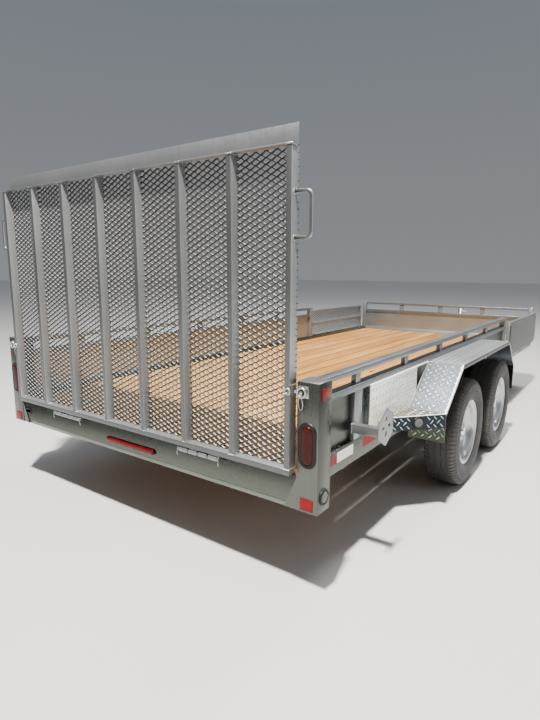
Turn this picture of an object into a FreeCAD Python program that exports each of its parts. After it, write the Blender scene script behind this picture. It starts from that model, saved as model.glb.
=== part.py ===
"""Open utility trailer with two axles, a wooden deck, a rear ramp gate and two drop-down side gates.

Millimetres, +Z up, +Y towards the hitch, +X to the trailer's right side. Z = 0 is the ground.
Inside this file Y is counted from the rear face of the rear corner posts. export() moves every piece so
that the origin lies under the middle of the whole trailer.
"""
import FreeCAD, Part
import math
import os

Vector = FreeCAD.Vector

# Bed
BED_HALF_WIDTH = 1038.0
BED_LENGTH = 5060.0
DECK_TOP_Z = 560.0
PLANK_THICKNESS = 38.0
PLANK_COUNT = 14
PLANK_GAP = 4.0
PLANK_SIDE_GAP = 2.0
DECK_REAR_Y = 28.0

# Main frame
RAIL_WIDTH = 50.0
RAIL_BOTTOM_Z = 490.0
RAIL_TOP_Z = 592.0
TUBE_WALL = 4.0
CROSSMEMBER_WIDTH = 50.0
CROSSMEMBER_HEIGHT = 50.0
CROSSMEMBER_PITCH = 600.0
CROSSMEMBER_FIRST_Y = 480.0

# Rear corner posts and bulkhead
POST_SIZE = 100.0
POST_BOTTOM_Z = 400.0
POST_TOP_Z = 938.0
POST_WALL = 5.0
BULKHEAD_REAR_Y = 8.0
BULKHEAD_TOP_Z = 540.0
BULKHEAD_FLANGE = 50.0
BULKHEAD_WALL = 6.0
GUSSET_SIZE = 60.0

# Side and front walls
WALL_SHEET = 3.0
MID_RAIL_TOP_Z = 852.0
MID_RAIL_HEIGHT = 30.0
FRONT_MID_RAIL_TOP_Z = 830.0
TOP_RAIL_TOP_Z = 929.0
TOP_RAIL_HEIGHT = 25.0
UPRIGHT_WIDTH = 50.0
UPRIGHT_THICKNESS = 25.0
UPRIGHT_FIRST_Y = 461.0
UPRIGHT_PITCH = 600.0
FRONT_UPRIGHT_PITCH = 520.0
SIDE_GATE_BAY = 1550.0
FRONT_POST_TOP_Z = 940.0
STIFFENER_REAR_Y = 408.0
STIFFENER_WIDTH = 75.0

# Fenders
FENDER_WIDTH = 212.0
FENDER_TOP_Z = 822.0
FENDER_PLANK_DEPTH = 25.0
FENDER_SKIN = 5.0
FENDER_GROOVES = 6
FENDER_GROOVE_WIDTH = 12.0
FENDER_GROOVE_DEPTH = 2.5
FENDER_REAR_OVERHANG = 280.0
FENDER_FRONT_OVERHANG = 128.0
TREAD_PLATE = 3.0
REAR_SLOPE_RUN = 293.0
REAR_FOOT_Z = 597.0
FRONT_SLOPE_RUN = 250.0
FRONT_FOOT_Z = 600.0
REAR_APRON_BOTTOM_Z = 430.0
FRONT_APRON_BOTTOM_Z = 400.0
SLOPE_LIP = 20.0
STEP_LENGTH = 247.0
STEP_FLANGE_HEIGHT = 78.0
WALL_PANEL_BEHIND_STEP = 275.0
WALL_PANEL_PAST_STEP = 103.0

# Wheels and axles
TYRE_SIDE_GAP = 8.5
REAR_AXLE_Y = 1660.0
AXLE_SPACING = 862.0
TYRE_RADIUS = 344.0
TYRE_WIDTH = 203.0
TYRE_FACETS = 44
TYRE_PROFILE_SHARES = ((0.951, 0.304), (1.0, 0.5), (0.961, 0.72), (0.882, 0.909), (0.744, 0.974),
                       (0.488, 1.0))
BEAD_RADIUS = 190.5
RIM_FLANGE_RADIUS = 207.0
RIM_WIDTH = 166.0
RIM_WALL = 5.0
TYRE_SEAT_GAP = 0.3
RIM_LIP_STEP = 4.5
RIM_BOWL_DEEPEST = 16.0
RIM_BOWL_RADIUS = 122.0
RIM_ARC_STEP_DEGREES = 22.5
RIM_PAD_RADIUS = 78.0
RIM_PAD_DEPTH = 42.0
RIM_PAD_THICKNESS = 24.0
BOWL_THICKNESS = 8.0
WELL_DEPTH = 20.0
LUG_COUNT = 5
LUG_CIRCLE = 114.3
LUG_POCKET_RADIUS = 15.5
LUG_POCKET_DEPTH = 21.0
CAP_RADIUS = 31.0
CAP_HEIGHT = 17.0
DRUM_RADIUS = 132.0
DRUM_WIDTH = 56.0
DRUM_WALL = 10.0
DRUM_INNER_X = -96.0
HUB_RADIUS = 40.0
SPINDLE_RADIUS = 22.0
SPINDLE_CLEARANCE = 0.08
SPINDLE_END = 34.0
AXLE_BEAM_SIZE = 72.0
AXLE_BEAM_Z = 434.0
AXLE_BEAM_INSET = 30.0
AXLE_ARM_LENGTH = 150.0
AXLE_ARM_THICKNESS = 28.0
AXLE_EYE_WALL = 14.0
AXLE_LINK_MARGIN = 4.0
AXLE_BRACKET_OVERHANG = 30.0
AXLE_BRACKET_THICKNESS = 6.0

# Rear gate
GATE_SIDE_GAP = 18.0
GATE_RIBS = 8
GATE_RIB_WIDTH = 25.0
GATE_REAR_Y = -28.0
GATE_DEPTH = 50.0
GATE_BOTTOM_Z = 548.0
GATE_BOTTOM_RAIL = 25.0
GATE_TOP_Z = 1890.0
GATE_TOP_ANGLE_HEIGHT = 80.0
GATE_ANGLE_WALL = 5.0
GATE_TUBE_WALL = 3.0
MESH_THICKNESS = 3.0
DIAMOND_LENGTH = 110.0
DIAMOND_HEIGHT = 55.0
STRAND_WIDTH = 8.0
HANDLE_BELOW_TOP = 243.0
HANDLE_HEIGHT = 167.0
HANDLE_REACH = 70.0
HANDLE_ROD_RADIUS = 7.0
HANDLE_BEND_RADIUS = 22.0
GATE_HINGE_Y = -18.0
GATE_HINGE_Z = 530.0
GATE_HINGE_INSET = 505.0
KNUCKLE_RADIUS = 12.0
KNUCKLE_LENGTH = 60.0
KNUCKLES = 4
PIN_END = 8.0
KNUCKLE_GAP = 2.0
PIN_RADIUS = 8.0
PIN_CLEARANCE = 0.08

# Side gates
SIDE_GATE_REAR_GAP = 10.0
SIDE_GATE_FRONT_GAP = 20.0
SIDE_GATE_BOTTOM_Z = 556.0
SIDE_GATE_TOP_Z = 886.0
SIDE_GATE_TUBE = 30.0
SIDE_GATE_CLEARANCE = 6.0
SIDE_GATE_HINGE_Z = 540.0
SIDE_KNUCKLE_RADIUS = 9.0
SIDE_PIN_RADIUS = 5.0
SIDE_HINGE_LENGTH = 60.0
SIDE_HINGE_END_LENGTH = 30.0
SIDE_PIN_OVERHANG = 8.0
SIDE_HINGE_INSET = 200.0
SIDE_LUG_THICKNESS = 8.0
SIDE_BRACKET_THICKNESS = 10.0

# Tongue, coupler and jack
TONGUE_BEAM_WIDTH = 50.0
TONGUE_BEAM_HEIGHT = 75.0
TONGUE_REAR_INSET = 133.0
TONGUE_LAP = 900.0
TONGUE_NOSE_X = 42.0
TONGUE_REACH = 1240.0
COUPLER_LENGTH = 60.0
COUPLER_BALL_Z = 425.0
BALL_RADIUS = 25.4
SOCKET_CLEARANCE = 0.8
COUPLER_WIDTH = 84.0
COUPLER_HEIGHT = 58.0
COUPLER_LIP = 6.0
TONGUE_PLATE_LENGTH = 230.0
TONGUE_PLATE_THICKNESS = 6.0
COUPLER_LEVER_WIDTH = 24.0
COUPLER_LEVER_HEIGHT = 16.0
COUPLER_LEVER_BEHIND_BALL = 90.0
COUPLER_LEVER_PAST_BALL = 18.0
JACK_SETBACK = 340.0
JACK_TUBE_RADIUS = 30.0
JACK_TUBE_WALL = 3.2
JACK_TUBE_BOTTOM_Z = 190.0
JACK_TUBE_TOP_Z = 830.0
JACK_LEG_CLEARANCE = 0.5
JACK_LEG_TOP_Z = 620.0
JACK_FOOT_RADIUS = 90.0
JACK_FOOT_THICKNESS = 8.0
JACK_CAP_THICKNESS = 20.0
JACK_PLATE_LENGTH = 120.0
JACK_PLATE_THICKNESS = 8.0
CRANK_BELOW_TOP = 30.0
CRANK_REACH = 61.0
CRANK_ROD_RADIUS = 9.0
CRANK_LENGTH = 151.0
CRANK_GRIP_RADIUS = 12.0
CRANK_GRIP_LENGTH = 90.0

# Lamps, reflectors, latches and spare carrier
STOP_LAMP_Z = 682.0
STOP_LAMP_WIDTH = 52.0
STOP_LAMP_HEIGHT = 160.0
GROMMET_BORDER = 16.0
GROMMET_PROUD = 5.0
LENS_PROUD = 9.0
ROUND_LAMP_RADIUS = 25.0
ROUND_GROMMET_RADIUS = 36.0
SIDE_LAMP_Z = 464.0
REFLECTOR_WIDTH = 60.0
REFLECTOR_HEIGHT = 48.0
REFLECTOR_THICKNESS = 3.0
LOW_REFLECTOR_Z = 433.0
HIGH_REFLECTOR_Z = 888.0
ID_BAR_LENGTH = 380.0
ID_BAR_HEIGHT = 30.0
ID_BAR_DEPTH = 10.0
ID_LENS_LENGTH = 70.0
ID_LENS_MARGIN = 4.0
ID_LENS_PROUD = 6.0
ID_BAR_Z = 457.0
LATCH_Z = 897.0
LATCH_PLATE = 48.0
LATCH_BARREL_RADIUS = 12.0
LATCH_PIN_RADIUS = 7.0
LATCH_PIN_GAP = 2.0
LATCH_PIN_SETBACK = 10.0
LATCH_THICKNESS = 4.0
LATCH_INSET = 6.0
LATCH_RING_RADIUS = 17.0
LATCH_RING_WALL = 6.0
STRIKER_HALF_DEPTH = 20.0
CARRIER_Y = 400.0
CARRIER_Z = 690.0
CARRIER_ARM_SIZE = 40.0
CARRIER_REACH = 152.0
CARRIER_PLATE_THICKNESS = 6.0
CARRIER_PLATE_RADIUS = 88.0
CARRIER_SLOT_SPACING = 67.2
CARRIER_SLOT_LENGTH = 26.0
CARRIER_SLOT_WIDTH = 13.0

# Places that follow from the sizes above
WALL_OUTER_X = BED_HALF_WIDTH + RAIL_WIDTH
POST_OUTER_X = BED_HALF_WIDTH + POST_SIZE
PLANK_BOTTOM_Z = DECK_TOP_Z - PLANK_THICKNESS
FRONT_TUBE_REAR_Y = BED_LENGTH - RAIL_WIDTH
WALL_SHEET_X = BED_HALF_WIDTH + RAIL_WIDTH / 2
MID_RAIL_BOTTOM_Z = MID_RAIL_TOP_Z - MID_RAIL_HEIGHT
TOP_RAIL_BOTTOM_Z = TOP_RAIL_TOP_Z - TOP_RAIL_HEIGHT
GATE_FRONT_Y = GATE_REAR_Y + GATE_DEPTH
GATE_BOTTOM_RAIL_TOP_Z = GATE_BOTTOM_Z + GATE_BOTTOM_RAIL
GATE_TOP_FLANGE_Z = GATE_TOP_Z - GATE_TOP_ANGLE_HEIGHT
HANDLE_TOP_Z = GATE_TOP_Z - HANDLE_BELOW_TOP
HANDLE_BOTTOM_Z = HANDLE_TOP_Z - HANDLE_HEIGHT
CROSSMEMBER_RUN = FRONT_TUBE_REAR_Y - CROSSMEMBER_FIRST_Y - CROSSMEMBER_PITCH / 4
CROSSMEMBER_COUNT = int(CROSSMEMBER_RUN / CROSSMEMBER_PITCH) + 1
CROSSMEMBER_YS = [CROSSMEMBER_FIRST_Y + row * CROSSMEMBER_PITCH for row in range(CROSSMEMBER_COUNT)]
TONGUE_REAR_Y = max(y for y in CROSSMEMBER_YS if y < BED_LENGTH - TONGUE_LAP) - CROSSMEMBER_WIDTH / 2
TONGUE_REAR_X = BED_HALF_WIDTH - TONGUE_REAR_INSET
TONGUE_NOSE_Y = BED_LENGTH + TONGUE_REACH
COUPLER_BALL_Y = TONGUE_NOSE_Y + COUPLER_LENGTH
JACK_Y = TONGUE_NOSE_Y - JACK_SETBACK
MID_POST_REAR_Y = BED_LENGTH - SIDE_GATE_BAY
SIDE_GATE_REAR_Y = MID_POST_REAR_Y + RAIL_WIDTH + SIDE_GATE_REAR_GAP
SIDE_GATE_FRONT_Y = FRONT_TUBE_REAR_Y - SIDE_GATE_FRONT_GAP
GATE_HALF_WIDTH = BED_HALF_WIDTH - GATE_SIDE_GAP
GATE_HINGE_X = GATE_HALF_WIDTH - GATE_HINGE_INSET
WHEEL_X = WALL_OUTER_X + TYRE_SIDE_GAP + TYRE_WIDTH / 2
AXLE_BEAM_HALF = BED_HALF_WIDTH - AXLE_BEAM_INSET
FENDER_OUTER_X = WALL_OUTER_X + FENDER_WIDTH
FENDER_REAR_Y = REAR_AXLE_Y - FENDER_REAR_OVERHANG
FENDER_FRONT_Y = REAR_AXLE_Y + AXLE_SPACING + FENDER_FRONT_OVERHANG
REAR_FOOT_Y = FENDER_REAR_Y - REAR_SLOPE_RUN
FRONT_FOOT_Y = FENDER_FRONT_Y + FRONT_SLOPE_RUN
STEP_REAR_Y = REAR_FOOT_Y - STEP_LENGTH
WALL_PANEL_REAR_Y = STEP_REAR_Y - WALL_PANEL_BEHIND_STEP
WALL_PANEL_FRONT_Y = REAR_FOOT_Y + WALL_PANEL_PAST_STEP
CARRIER_PLATE_X = WALL_OUTER_X + CARRIER_REACH
AXLE_YS = (REAR_AXLE_Y, REAR_AXLE_Y + AXLE_SPACING)
CROSSMEMBER_BOTTOM_Z = PLANK_BOTTOM_Z - CROSSMEMBER_HEIGHT
SIDE_GATE_INNER_X = WALL_OUTER_X + SIDE_GATE_CLEARANCE
SIDE_HINGE_X = SIDE_GATE_INNER_X + SIDE_GATE_TUBE * 2 / 3
COUPLER_NOSE_Y = COUPLER_BALL_Y + COUPLER_WIDTH / 2
KNUCKLE_REAR_Y = GATE_HINGE_Y - KNUCKLE_RADIUS
REAR_END_Y = min(GATE_REAR_Y, KNUCKLE_REAR_Y)
MIDDLE_Y = (REAR_END_Y + COUPLER_NOSE_Y) / 2


# Shape helpers
def block(x, y, z):
    """Box between the two values given on each axis."""
    low = Vector(min(x), min(y), min(z))
    return Part.makeBox(abs(x[1] - x[0]), abs(y[1] - y[0]), abs(z[1] - z[0]), low)


def tube(x, y, z, along, wall=TUBE_WALL):
    """Rectangular tube, open at both ends of the axis named by along."""
    spans = {"x": x, "y": y, "z": z}
    inner = {}
    for axis, (low, high) in spans.items():
        inner[axis] = (low - 1, high + 1) if axis == along else (low + wall, high - wall)
    return block(x, y, z).cut(block(inner["x"], inner["y"], inner["z"]))


def rod(start, direction, radius, length):
    return Part.makeCylinder(radius, length, Vector(*start), Vector(*direction))


def prism(points, direction):
    """Solid swept along direction from a closed polygon of 3-D points."""
    corners = [Vector(*point) for point in points]
    return Part.Face(Part.makePolygon(corners + corners[:1])).extrude(Vector(*direction))


def side_prism(yz, x_low, x_high):
    return prism([(x_low, y, z) for y, z in yz], (x_high - x_low, 0, 0))


def plan_prism(xy, z_low, z_high):
    return prism([(x, y, z_low) for x, y in xy], (0, 0, z_high - z_low))


def fuse(shapes):
    return shapes[0].multiFuse(shapes[1:]).removeSplitter()


def mirrored(shape):
    return shape.mirror(Vector(0, 0, 0), Vector(1, 0, 0))


def both_sides(shapes):
    return shapes + [mirrored(shape) for shape in shapes]


def slot_face(centre, length, width):
    """Upright rounded slot in the XZ plane."""
    x, y, z = centre
    radius = width / 2
    half = length / 2 - radius
    left = Part.makeLine(Vector(x - radius, y, z + half), Vector(x - radius, y, z - half))
    low = Part.Arc(Vector(x - radius, y, z - half), Vector(x, y, z - half - radius),
                   Vector(x + radius, y, z - half)).toShape()
    right = Part.makeLine(Vector(x + radius, y, z - half), Vector(x + radius, y, z + half))
    high = Part.Arc(Vector(x + radius, y, z + half), Vector(x, y, z + half + radius),
                    Vector(x - radius, y, z + half)).toShape()
    return Part.Face(Part.Wire([left, low, right, high]))


# Main frame
def side_rails():
    return both_sides([tube((BED_HALF_WIDTH, WALL_OUTER_X), (POST_SIZE, BED_LENGTH),
                            (RAIL_BOTTOM_Z, RAIL_TOP_Z), "y")])


def crossmembers():
    members = [tube((-BED_HALF_WIDTH, BED_HALF_WIDTH), (y - CROSSMEMBER_WIDTH / 2, y + CROSSMEMBER_WIDTH / 2),
                    (CROSSMEMBER_BOTTOM_Z, PLANK_BOTTOM_Z), "x") for y in CROSSMEMBER_YS]
    members.append(tube((-BED_HALF_WIDTH, BED_HALF_WIDTH), (FRONT_TUBE_REAR_Y, BED_LENGTH),
                        (CROSSMEMBER_BOTTOM_Z, RAIL_TOP_Z), "x"))
    return members


def rear_bulkhead():
    rear = BULKHEAD_REAR_Y
    web = rear + BULKHEAD_WALL
    front = rear + BULKHEAD_FLANGE
    section = [(rear, POST_BOTTOM_Z), (rear, BULKHEAD_TOP_Z), (web, BULKHEAD_TOP_Z), (web, PLANK_BOTTOM_Z),
               (front, PLANK_BOTTOM_Z), (front, PLANK_BOTTOM_Z - BULKHEAD_WALL),
               (web, PLANK_BOTTOM_Z - BULKHEAD_WALL), (web, POST_BOTTOM_Z + BULKHEAD_WALL),
               (front, POST_BOTTOM_Z + BULKHEAD_WALL), (front, POST_BOTTOM_Z)]
    channel = side_prism(section, -BED_HALF_WIDTH, BED_HALF_WIDTH)
    gusset = prism([(BED_HALF_WIDTH, rear, POST_BOTTOM_Z),
                    (BED_HALF_WIDTH - GUSSET_SIZE, rear, POST_BOTTOM_Z),
                    (BED_HALF_WIDTH, rear, BULKHEAD_TOP_Z)], (0, -BULKHEAD_WALL, 0))
    return [fuse([channel, gusset, mirrored(gusset)])]


def rear_posts():
    post = tube((BED_HALF_WIDTH, POST_OUTER_X), (0, POST_SIZE), (POST_BOTTOM_Z, POST_TOP_Z - POST_WALL), "z",
                POST_WALL)
    cap = block((BED_HALF_WIDTH, POST_OUTER_X), (0, POST_SIZE), (POST_TOP_Z - POST_WALL, POST_TOP_Z))
    return both_sides([fuse([post, cap])])


def deck_planks():
    width = 2 * (BED_HALF_WIDTH - PLANK_SIDE_GAP)
    plank = (width - (PLANK_COUNT - 1) * PLANK_GAP) / PLANK_COUNT
    planks = []
    for index in range(PLANK_COUNT):
        left = -width / 2 + index * (plank + PLANK_GAP)
        planks.append(block((left, left + plank), (DECK_REAR_Y, FRONT_TUBE_REAR_Y),
                            (PLANK_BOTTOM_Z, DECK_TOP_Z)))
    return planks


# Walls
def wall_posts():
    posts = []
    for rear, top in ((MID_POST_REAR_Y, TOP_RAIL_TOP_Z), (FRONT_TUBE_REAR_Y, FRONT_POST_TOP_Z)):
        posts.append(block((BED_HALF_WIDTH, WALL_OUTER_X), (rear, rear + RAIL_WIDTH), (RAIL_TOP_Z, top)))
    return both_sides(posts)


def top_rails():
    x = (BED_HALF_WIDTH, WALL_OUTER_X)
    z = (TOP_RAIL_BOTTOM_Z, TOP_RAIL_TOP_Z)
    side = tube(x, (POST_SIZE, MID_POST_REAR_Y), z, "y")
    front = tube((-BED_HALF_WIDTH, BED_HALF_WIDTH), (FRONT_TUBE_REAR_Y, BED_LENGTH), z, "x")
    return both_sides([side]) + [front]


def mid_rails():
    side = tube((BED_HALF_WIDTH, WALL_OUTER_X), (POST_SIZE, MID_POST_REAR_Y),
                (MID_RAIL_BOTTOM_Z, MID_RAIL_TOP_Z), "y")
    front = tube((-BED_HALF_WIDTH, BED_HALF_WIDTH), (FRONT_TUBE_REAR_Y, BED_LENGTH),
                 (FRONT_MID_RAIL_TOP_Z - MID_RAIL_HEIGHT, FRONT_MID_RAIL_TOP_Z), "x")
    return both_sides([side]) + [front]


def rail_uprights():
    side = []
    depth = (WALL_SHEET_X - UPRIGHT_THICKNESS / 2, WALL_SHEET_X + UPRIGHT_THICKNESS / 2)
    count = int((MID_POST_REAR_Y - UPRIGHT_FIRST_Y - UPRIGHT_WIDTH) / UPRIGHT_PITCH) + 1
    for index in range(count):
        y = UPRIGHT_FIRST_Y + index * UPRIGHT_PITCH
        side.append(block(depth, (y - UPRIGHT_WIDTH / 2, y + UPRIGHT_WIDTH / 2),
                          (MID_RAIL_TOP_Z, TOP_RAIL_BOTTOM_Z)))
    front = []
    middle = BED_LENGTH - RAIL_WIDTH / 2
    for step in (-1, 0, 1):
        x = step * FRONT_UPRIGHT_PITCH
        front.append(block((x - UPRIGHT_WIDTH / 2, x + UPRIGHT_WIDTH / 2),
                           (middle - UPRIGHT_THICKNESS / 2, middle + UPRIGHT_THICKNESS / 2),
                           (FRONT_MID_RAIL_TOP_Z, TOP_RAIL_BOTTOM_Z)))
    return both_sides(side) + front


def wall_sheets():
    side = block((WALL_SHEET_X - WALL_SHEET / 2, WALL_SHEET_X + WALL_SHEET / 2), (POST_SIZE, MID_POST_REAR_Y),
                 (RAIL_TOP_Z, MID_RAIL_BOTTOM_Z))
    middle = BED_LENGTH - RAIL_WIDTH / 2
    front = block((-BED_HALF_WIDTH, BED_HALF_WIDTH), (middle - WALL_SHEET / 2, middle + WALL_SHEET / 2),
                  (RAIL_TOP_Z, FRONT_MID_RAIL_TOP_Z - MID_RAIL_HEIGHT))
    return both_sides([side]) + [front]


def wall_stiffeners():
    outer = (WALL_SHEET_X + WALL_SHEET / 2, WALL_OUTER_X)
    return both_sides([tube(outer, (STIFFENER_REAR_Y, STIFFENER_REAR_Y + STIFFENER_WIDTH),
                            (RAIL_TOP_Z, MID_RAIL_BOTTOM_Z), "z")])


# Fenders
def fender_planks():
    inner = WALL_OUTER_X
    outer = FENDER_OUTER_X
    top = FENDER_TOP_Z
    under = top - FENDER_PLANK_DEPTH
    skin = top - FENDER_SKIN
    section = [(inner, under), (inner, top)]
    pitch = (outer - inner) / FENDER_GROOVES
    for index in range(FENDER_GROOVES):
        middle = inner + (index + 0.5) * pitch
        left = middle - FENDER_GROOVE_WIDTH / 2
        right = middle + FENDER_GROOVE_WIDTH / 2
        floor = top - FENDER_GROOVE_DEPTH
        section += [(left, top), (left, floor), (right, floor), (right, top)]
    section += [(outer, top), (outer, under), (outer - FENDER_SKIN, under), (outer - FENDER_SKIN, skin),
                (inner + FENDER_SKIN, skin), (inner + FENDER_SKIN, under)]
    length = FENDER_FRONT_Y - FENDER_REAR_Y
    return both_sides([prism([(x, FENDER_REAR_Y, z) for x, z in section], (0, length, 0))])


def slope_and_apron(top_y, foot_y, foot_z, apron_bottom_z):
    """Sloped tread plate from the plank's end, bent down into an apron, with a lip along its outer edge."""
    side = 1 if foot_y > top_y else -1
    inner = WALL_OUTER_X + 2 * TREAD_PLATE
    thick = side * TREAD_PLATE
    low = FENDER_TOP_Z - TREAD_PLATE
    outline = [(top_y, FENDER_TOP_Z), (foot_y, foot_z), (foot_y, apron_bottom_z),
               (foot_y - thick, apron_bottom_z), (foot_y - thick, foot_z - TREAD_PLATE), (top_y, low)]
    plate = side_prism(outline, WALL_OUTER_X, FENDER_OUTER_X)
    notch = block((WALL_OUTER_X - 1, inner), (foot_y - 5 * thick, foot_y + 5 * thick),
                  (apron_bottom_z - 1, RAIL_TOP_Z))
    lip = side_prism([(top_y, FENDER_TOP_Z), (foot_y, foot_z), (foot_y, foot_z - SLOPE_LIP),
                      (top_y, FENDER_TOP_Z - SLOPE_LIP)], FENDER_OUTER_X - TREAD_PLATE, FENDER_OUTER_X)
    return fuse([plate.cut(notch), lip])


def fender_plates():
    rear = slope_and_apron(FENDER_REAR_Y, REAR_FOOT_Y, REAR_FOOT_Z, REAR_APRON_BOTTOM_Z)
    front = slope_and_apron(FENDER_FRONT_Y, FRONT_FOOT_Y, FRONT_FOOT_Z, FRONT_APRON_BOTTOM_Z)
    rise = (FENDER_TOP_Z - REAR_FOOT_Z) / (FENDER_REAR_Y - REAR_FOOT_Y)
    meeting_z = REAR_FOOT_Z + rise * (WALL_PANEL_FRONT_Y - REAR_FOOT_Y)
    panel = side_prism([(WALL_PANEL_REAR_Y, REAR_FOOT_Z), (REAR_FOOT_Y, REAR_FOOT_Z),
                        (WALL_PANEL_FRONT_Y, meeting_z), (WALL_PANEL_FRONT_Y, MID_RAIL_BOTTOM_Z),
                        (WALL_PANEL_REAR_Y, MID_RAIL_BOTTOM_Z)],
                       WALL_OUTER_X, WALL_OUTER_X + TREAD_PLATE)
    return both_sides([rear, front, panel])


def fender_steps():
    inner = WALL_OUTER_X
    outer = FENDER_OUTER_X
    top = REAR_FOOT_Z
    tread = plan_prism([(inner, STEP_REAR_Y), (outer, REAR_FOOT_Y), (inner, REAR_FOOT_Y)],
                       top - TREAD_PLATE, top)
    run = Vector(outer - inner, REAR_FOOT_Y - STEP_REAR_Y, 0)
    run.normalize()
    shift = Vector(-run.y, run.x, 0) * TREAD_PLATE
    flange = plan_prism([(inner, STEP_REAR_Y), (outer, REAR_FOOT_Y), (outer + shift.x, REAR_FOOT_Y + shift.y),
                         (inner + shift.x, STEP_REAR_Y + shift.y)], top - STEP_FLANGE_HEIGHT, top)
    flange = flange.common(block((inner, outer), (STEP_REAR_Y, REAR_FOOT_Y), (0, top)))
    return both_sides([fuse([tread, flange])])


# Axles
def axle_beams():
    beams = []
    for axle in AXLE_YS:
        y = axle + AXLE_ARM_LENGTH
        half = AXLE_BEAM_SIZE / 2
        beams.append(tube((-AXLE_BEAM_HALF, AXLE_BEAM_HALF), (y - half, y + half),
                          (AXLE_BEAM_Z - half, AXLE_BEAM_Z + half), "x"))
    return beams


def axle_arms():
    arms = []
    inner = AXLE_BEAM_HALF
    outer = inner + AXLE_ARM_THICKNESS
    for axle in AXLE_YS:
        pivot = (inner, axle + AXLE_ARM_LENGTH, AXLE_BEAM_Z)
        wheel = (inner, axle, TYRE_RADIUS)
        boss = rod(pivot, (1, 0, 0), AXLE_BEAM_SIZE / 2, AXLE_ARM_THICKNESS)
        eye = rod(wheel, (1, 0, 0), SPINDLE_RADIUS + AXLE_EYE_WALL, AXLE_ARM_THICKNESS)
        drop = Vector(0, -AXLE_ARM_LENGTH, TYRE_RADIUS - AXLE_BEAM_Z)
        normal = Vector(0, -drop.z, drop.y)
        normal.normalize()
        wide = normal * (AXLE_BEAM_SIZE / 2 - AXLE_LINK_MARGIN)
        slim = normal * (SPINDLE_RADIUS + AXLE_EYE_WALL - AXLE_LINK_MARGIN)
        link = side_prism([(pivot[1] + wide.y, pivot[2] + wide.z), (wheel[1] + slim.y, wheel[2] + slim.z),
                           (wheel[1] - slim.y, wheel[2] - slim.z), (pivot[1] - wide.y, pivot[2] - wide.z)],
                          inner, outer)
        spindle = rod((inner, axle, TYRE_RADIUS), (1, 0, 0), SPINDLE_RADIUS, WHEEL_X + SPINDLE_END - inner)
        arms.append(fuse([boss, eye, link, spindle]))
    return both_sides(arms)


def axle_brackets():
    """Bent plates that carry the axle beams from under the side rails."""
    brackets = []
    top = RAIL_BOTTOM_Z
    beam_top = AXLE_BEAM_Z + AXLE_BEAM_SIZE / 2
    inner = BED_HALF_WIDTH - AXLE_BEAM_SIZE
    thick = AXLE_BRACKET_THICKNESS
    reach = AXLE_BEAM_SIZE / 2 + AXLE_BRACKET_OVERHANG
    for axle in AXLE_YS:
        y = (axle + AXLE_ARM_LENGTH - reach, axle + AXLE_ARM_LENGTH + reach)
        seat = block((inner, AXLE_BEAM_HALF), y, (beam_top, beam_top + thick))
        shelf = block((inner, WALL_OUTER_X), y, (top - thick, top))
        web = block((inner, inner + thick), y, (beam_top, top))
        brackets.append(fuse([seat, web, shelf]))
    return both_sides(brackets)


# Wheels, drawn about the X axis and then moved to each hub
def wheel_spin(section):
    """Turns a closed outline of (offset along X, radius) points about the X axis."""
    face = Part.Face(Part.makePolygon([Vector(x, 0, r) for x, r in section + section[:1]]))
    return face.revolve(Vector(0, 0, 0), Vector(1, 0, 0), 360)


def faceted_ring(section, count):
    """Closed outline of (offset along X, radius) points, turned about the X axis in flat facets."""
    rings = []
    for index in range(count):
        angle = 2 * math.pi * index / count
        rings.append([Vector(x, r * math.sin(angle), r * math.cos(angle)) for x, r in section])
    faces = []
    for index in range(count):
        here = rings[index]
        ahead = rings[(index + 1) % count]
        for point in range(len(section)):
            after = (point + 1) % len(section)
            faces.append(Part.Face(Part.makePolygon([here[point], ahead[point], ahead[after], here[after],
                                                     here[point]])))
    solid = Part.makeSolid(Part.makeShell(faces))
    if solid.Volume < 0:
        solid.reverse()
    return solid


def tyre():
    """Smooth tyre; TYRE_PROFILE_SHARES gives shares of its half width and of its height above the bead."""
    half = TYRE_WIDTH / 2
    bead_x = RIM_WIDTH / 2 - RIM_WALL - TYRE_SEAT_GAP
    flat = math.cos(math.pi / TYRE_FACETS)
    side = [(bead_x, (radius + TYRE_SEAT_GAP) / flat) for radius in (BEAD_RADIUS, RIM_FLANGE_RADIUS)]
    for wide, tall in TYRE_PROFILE_SHARES:
        side.append((wide * half, BEAD_RADIUS + tall * (TYRE_RADIUS - BEAD_RADIUS)))
    return faceted_ring([(-x, r) for x, r in side] + [(x, r) for x, r in reversed(side)], TYRE_FACETS)


def ellipse_points(centre, halves, start, end):
    """Section points on an ellipse between two angles in degrees, in even steps."""
    count = round(abs(end - start) / RIM_ARC_STEP_DEGREES)
    angles = [math.radians(start + (end - start) * step / count) for step in range(count + 1)]
    return [(centre[0] + halves[0] * math.cos(a), centre[1] + halves[1] * math.sin(a)) for a in angles]


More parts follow.
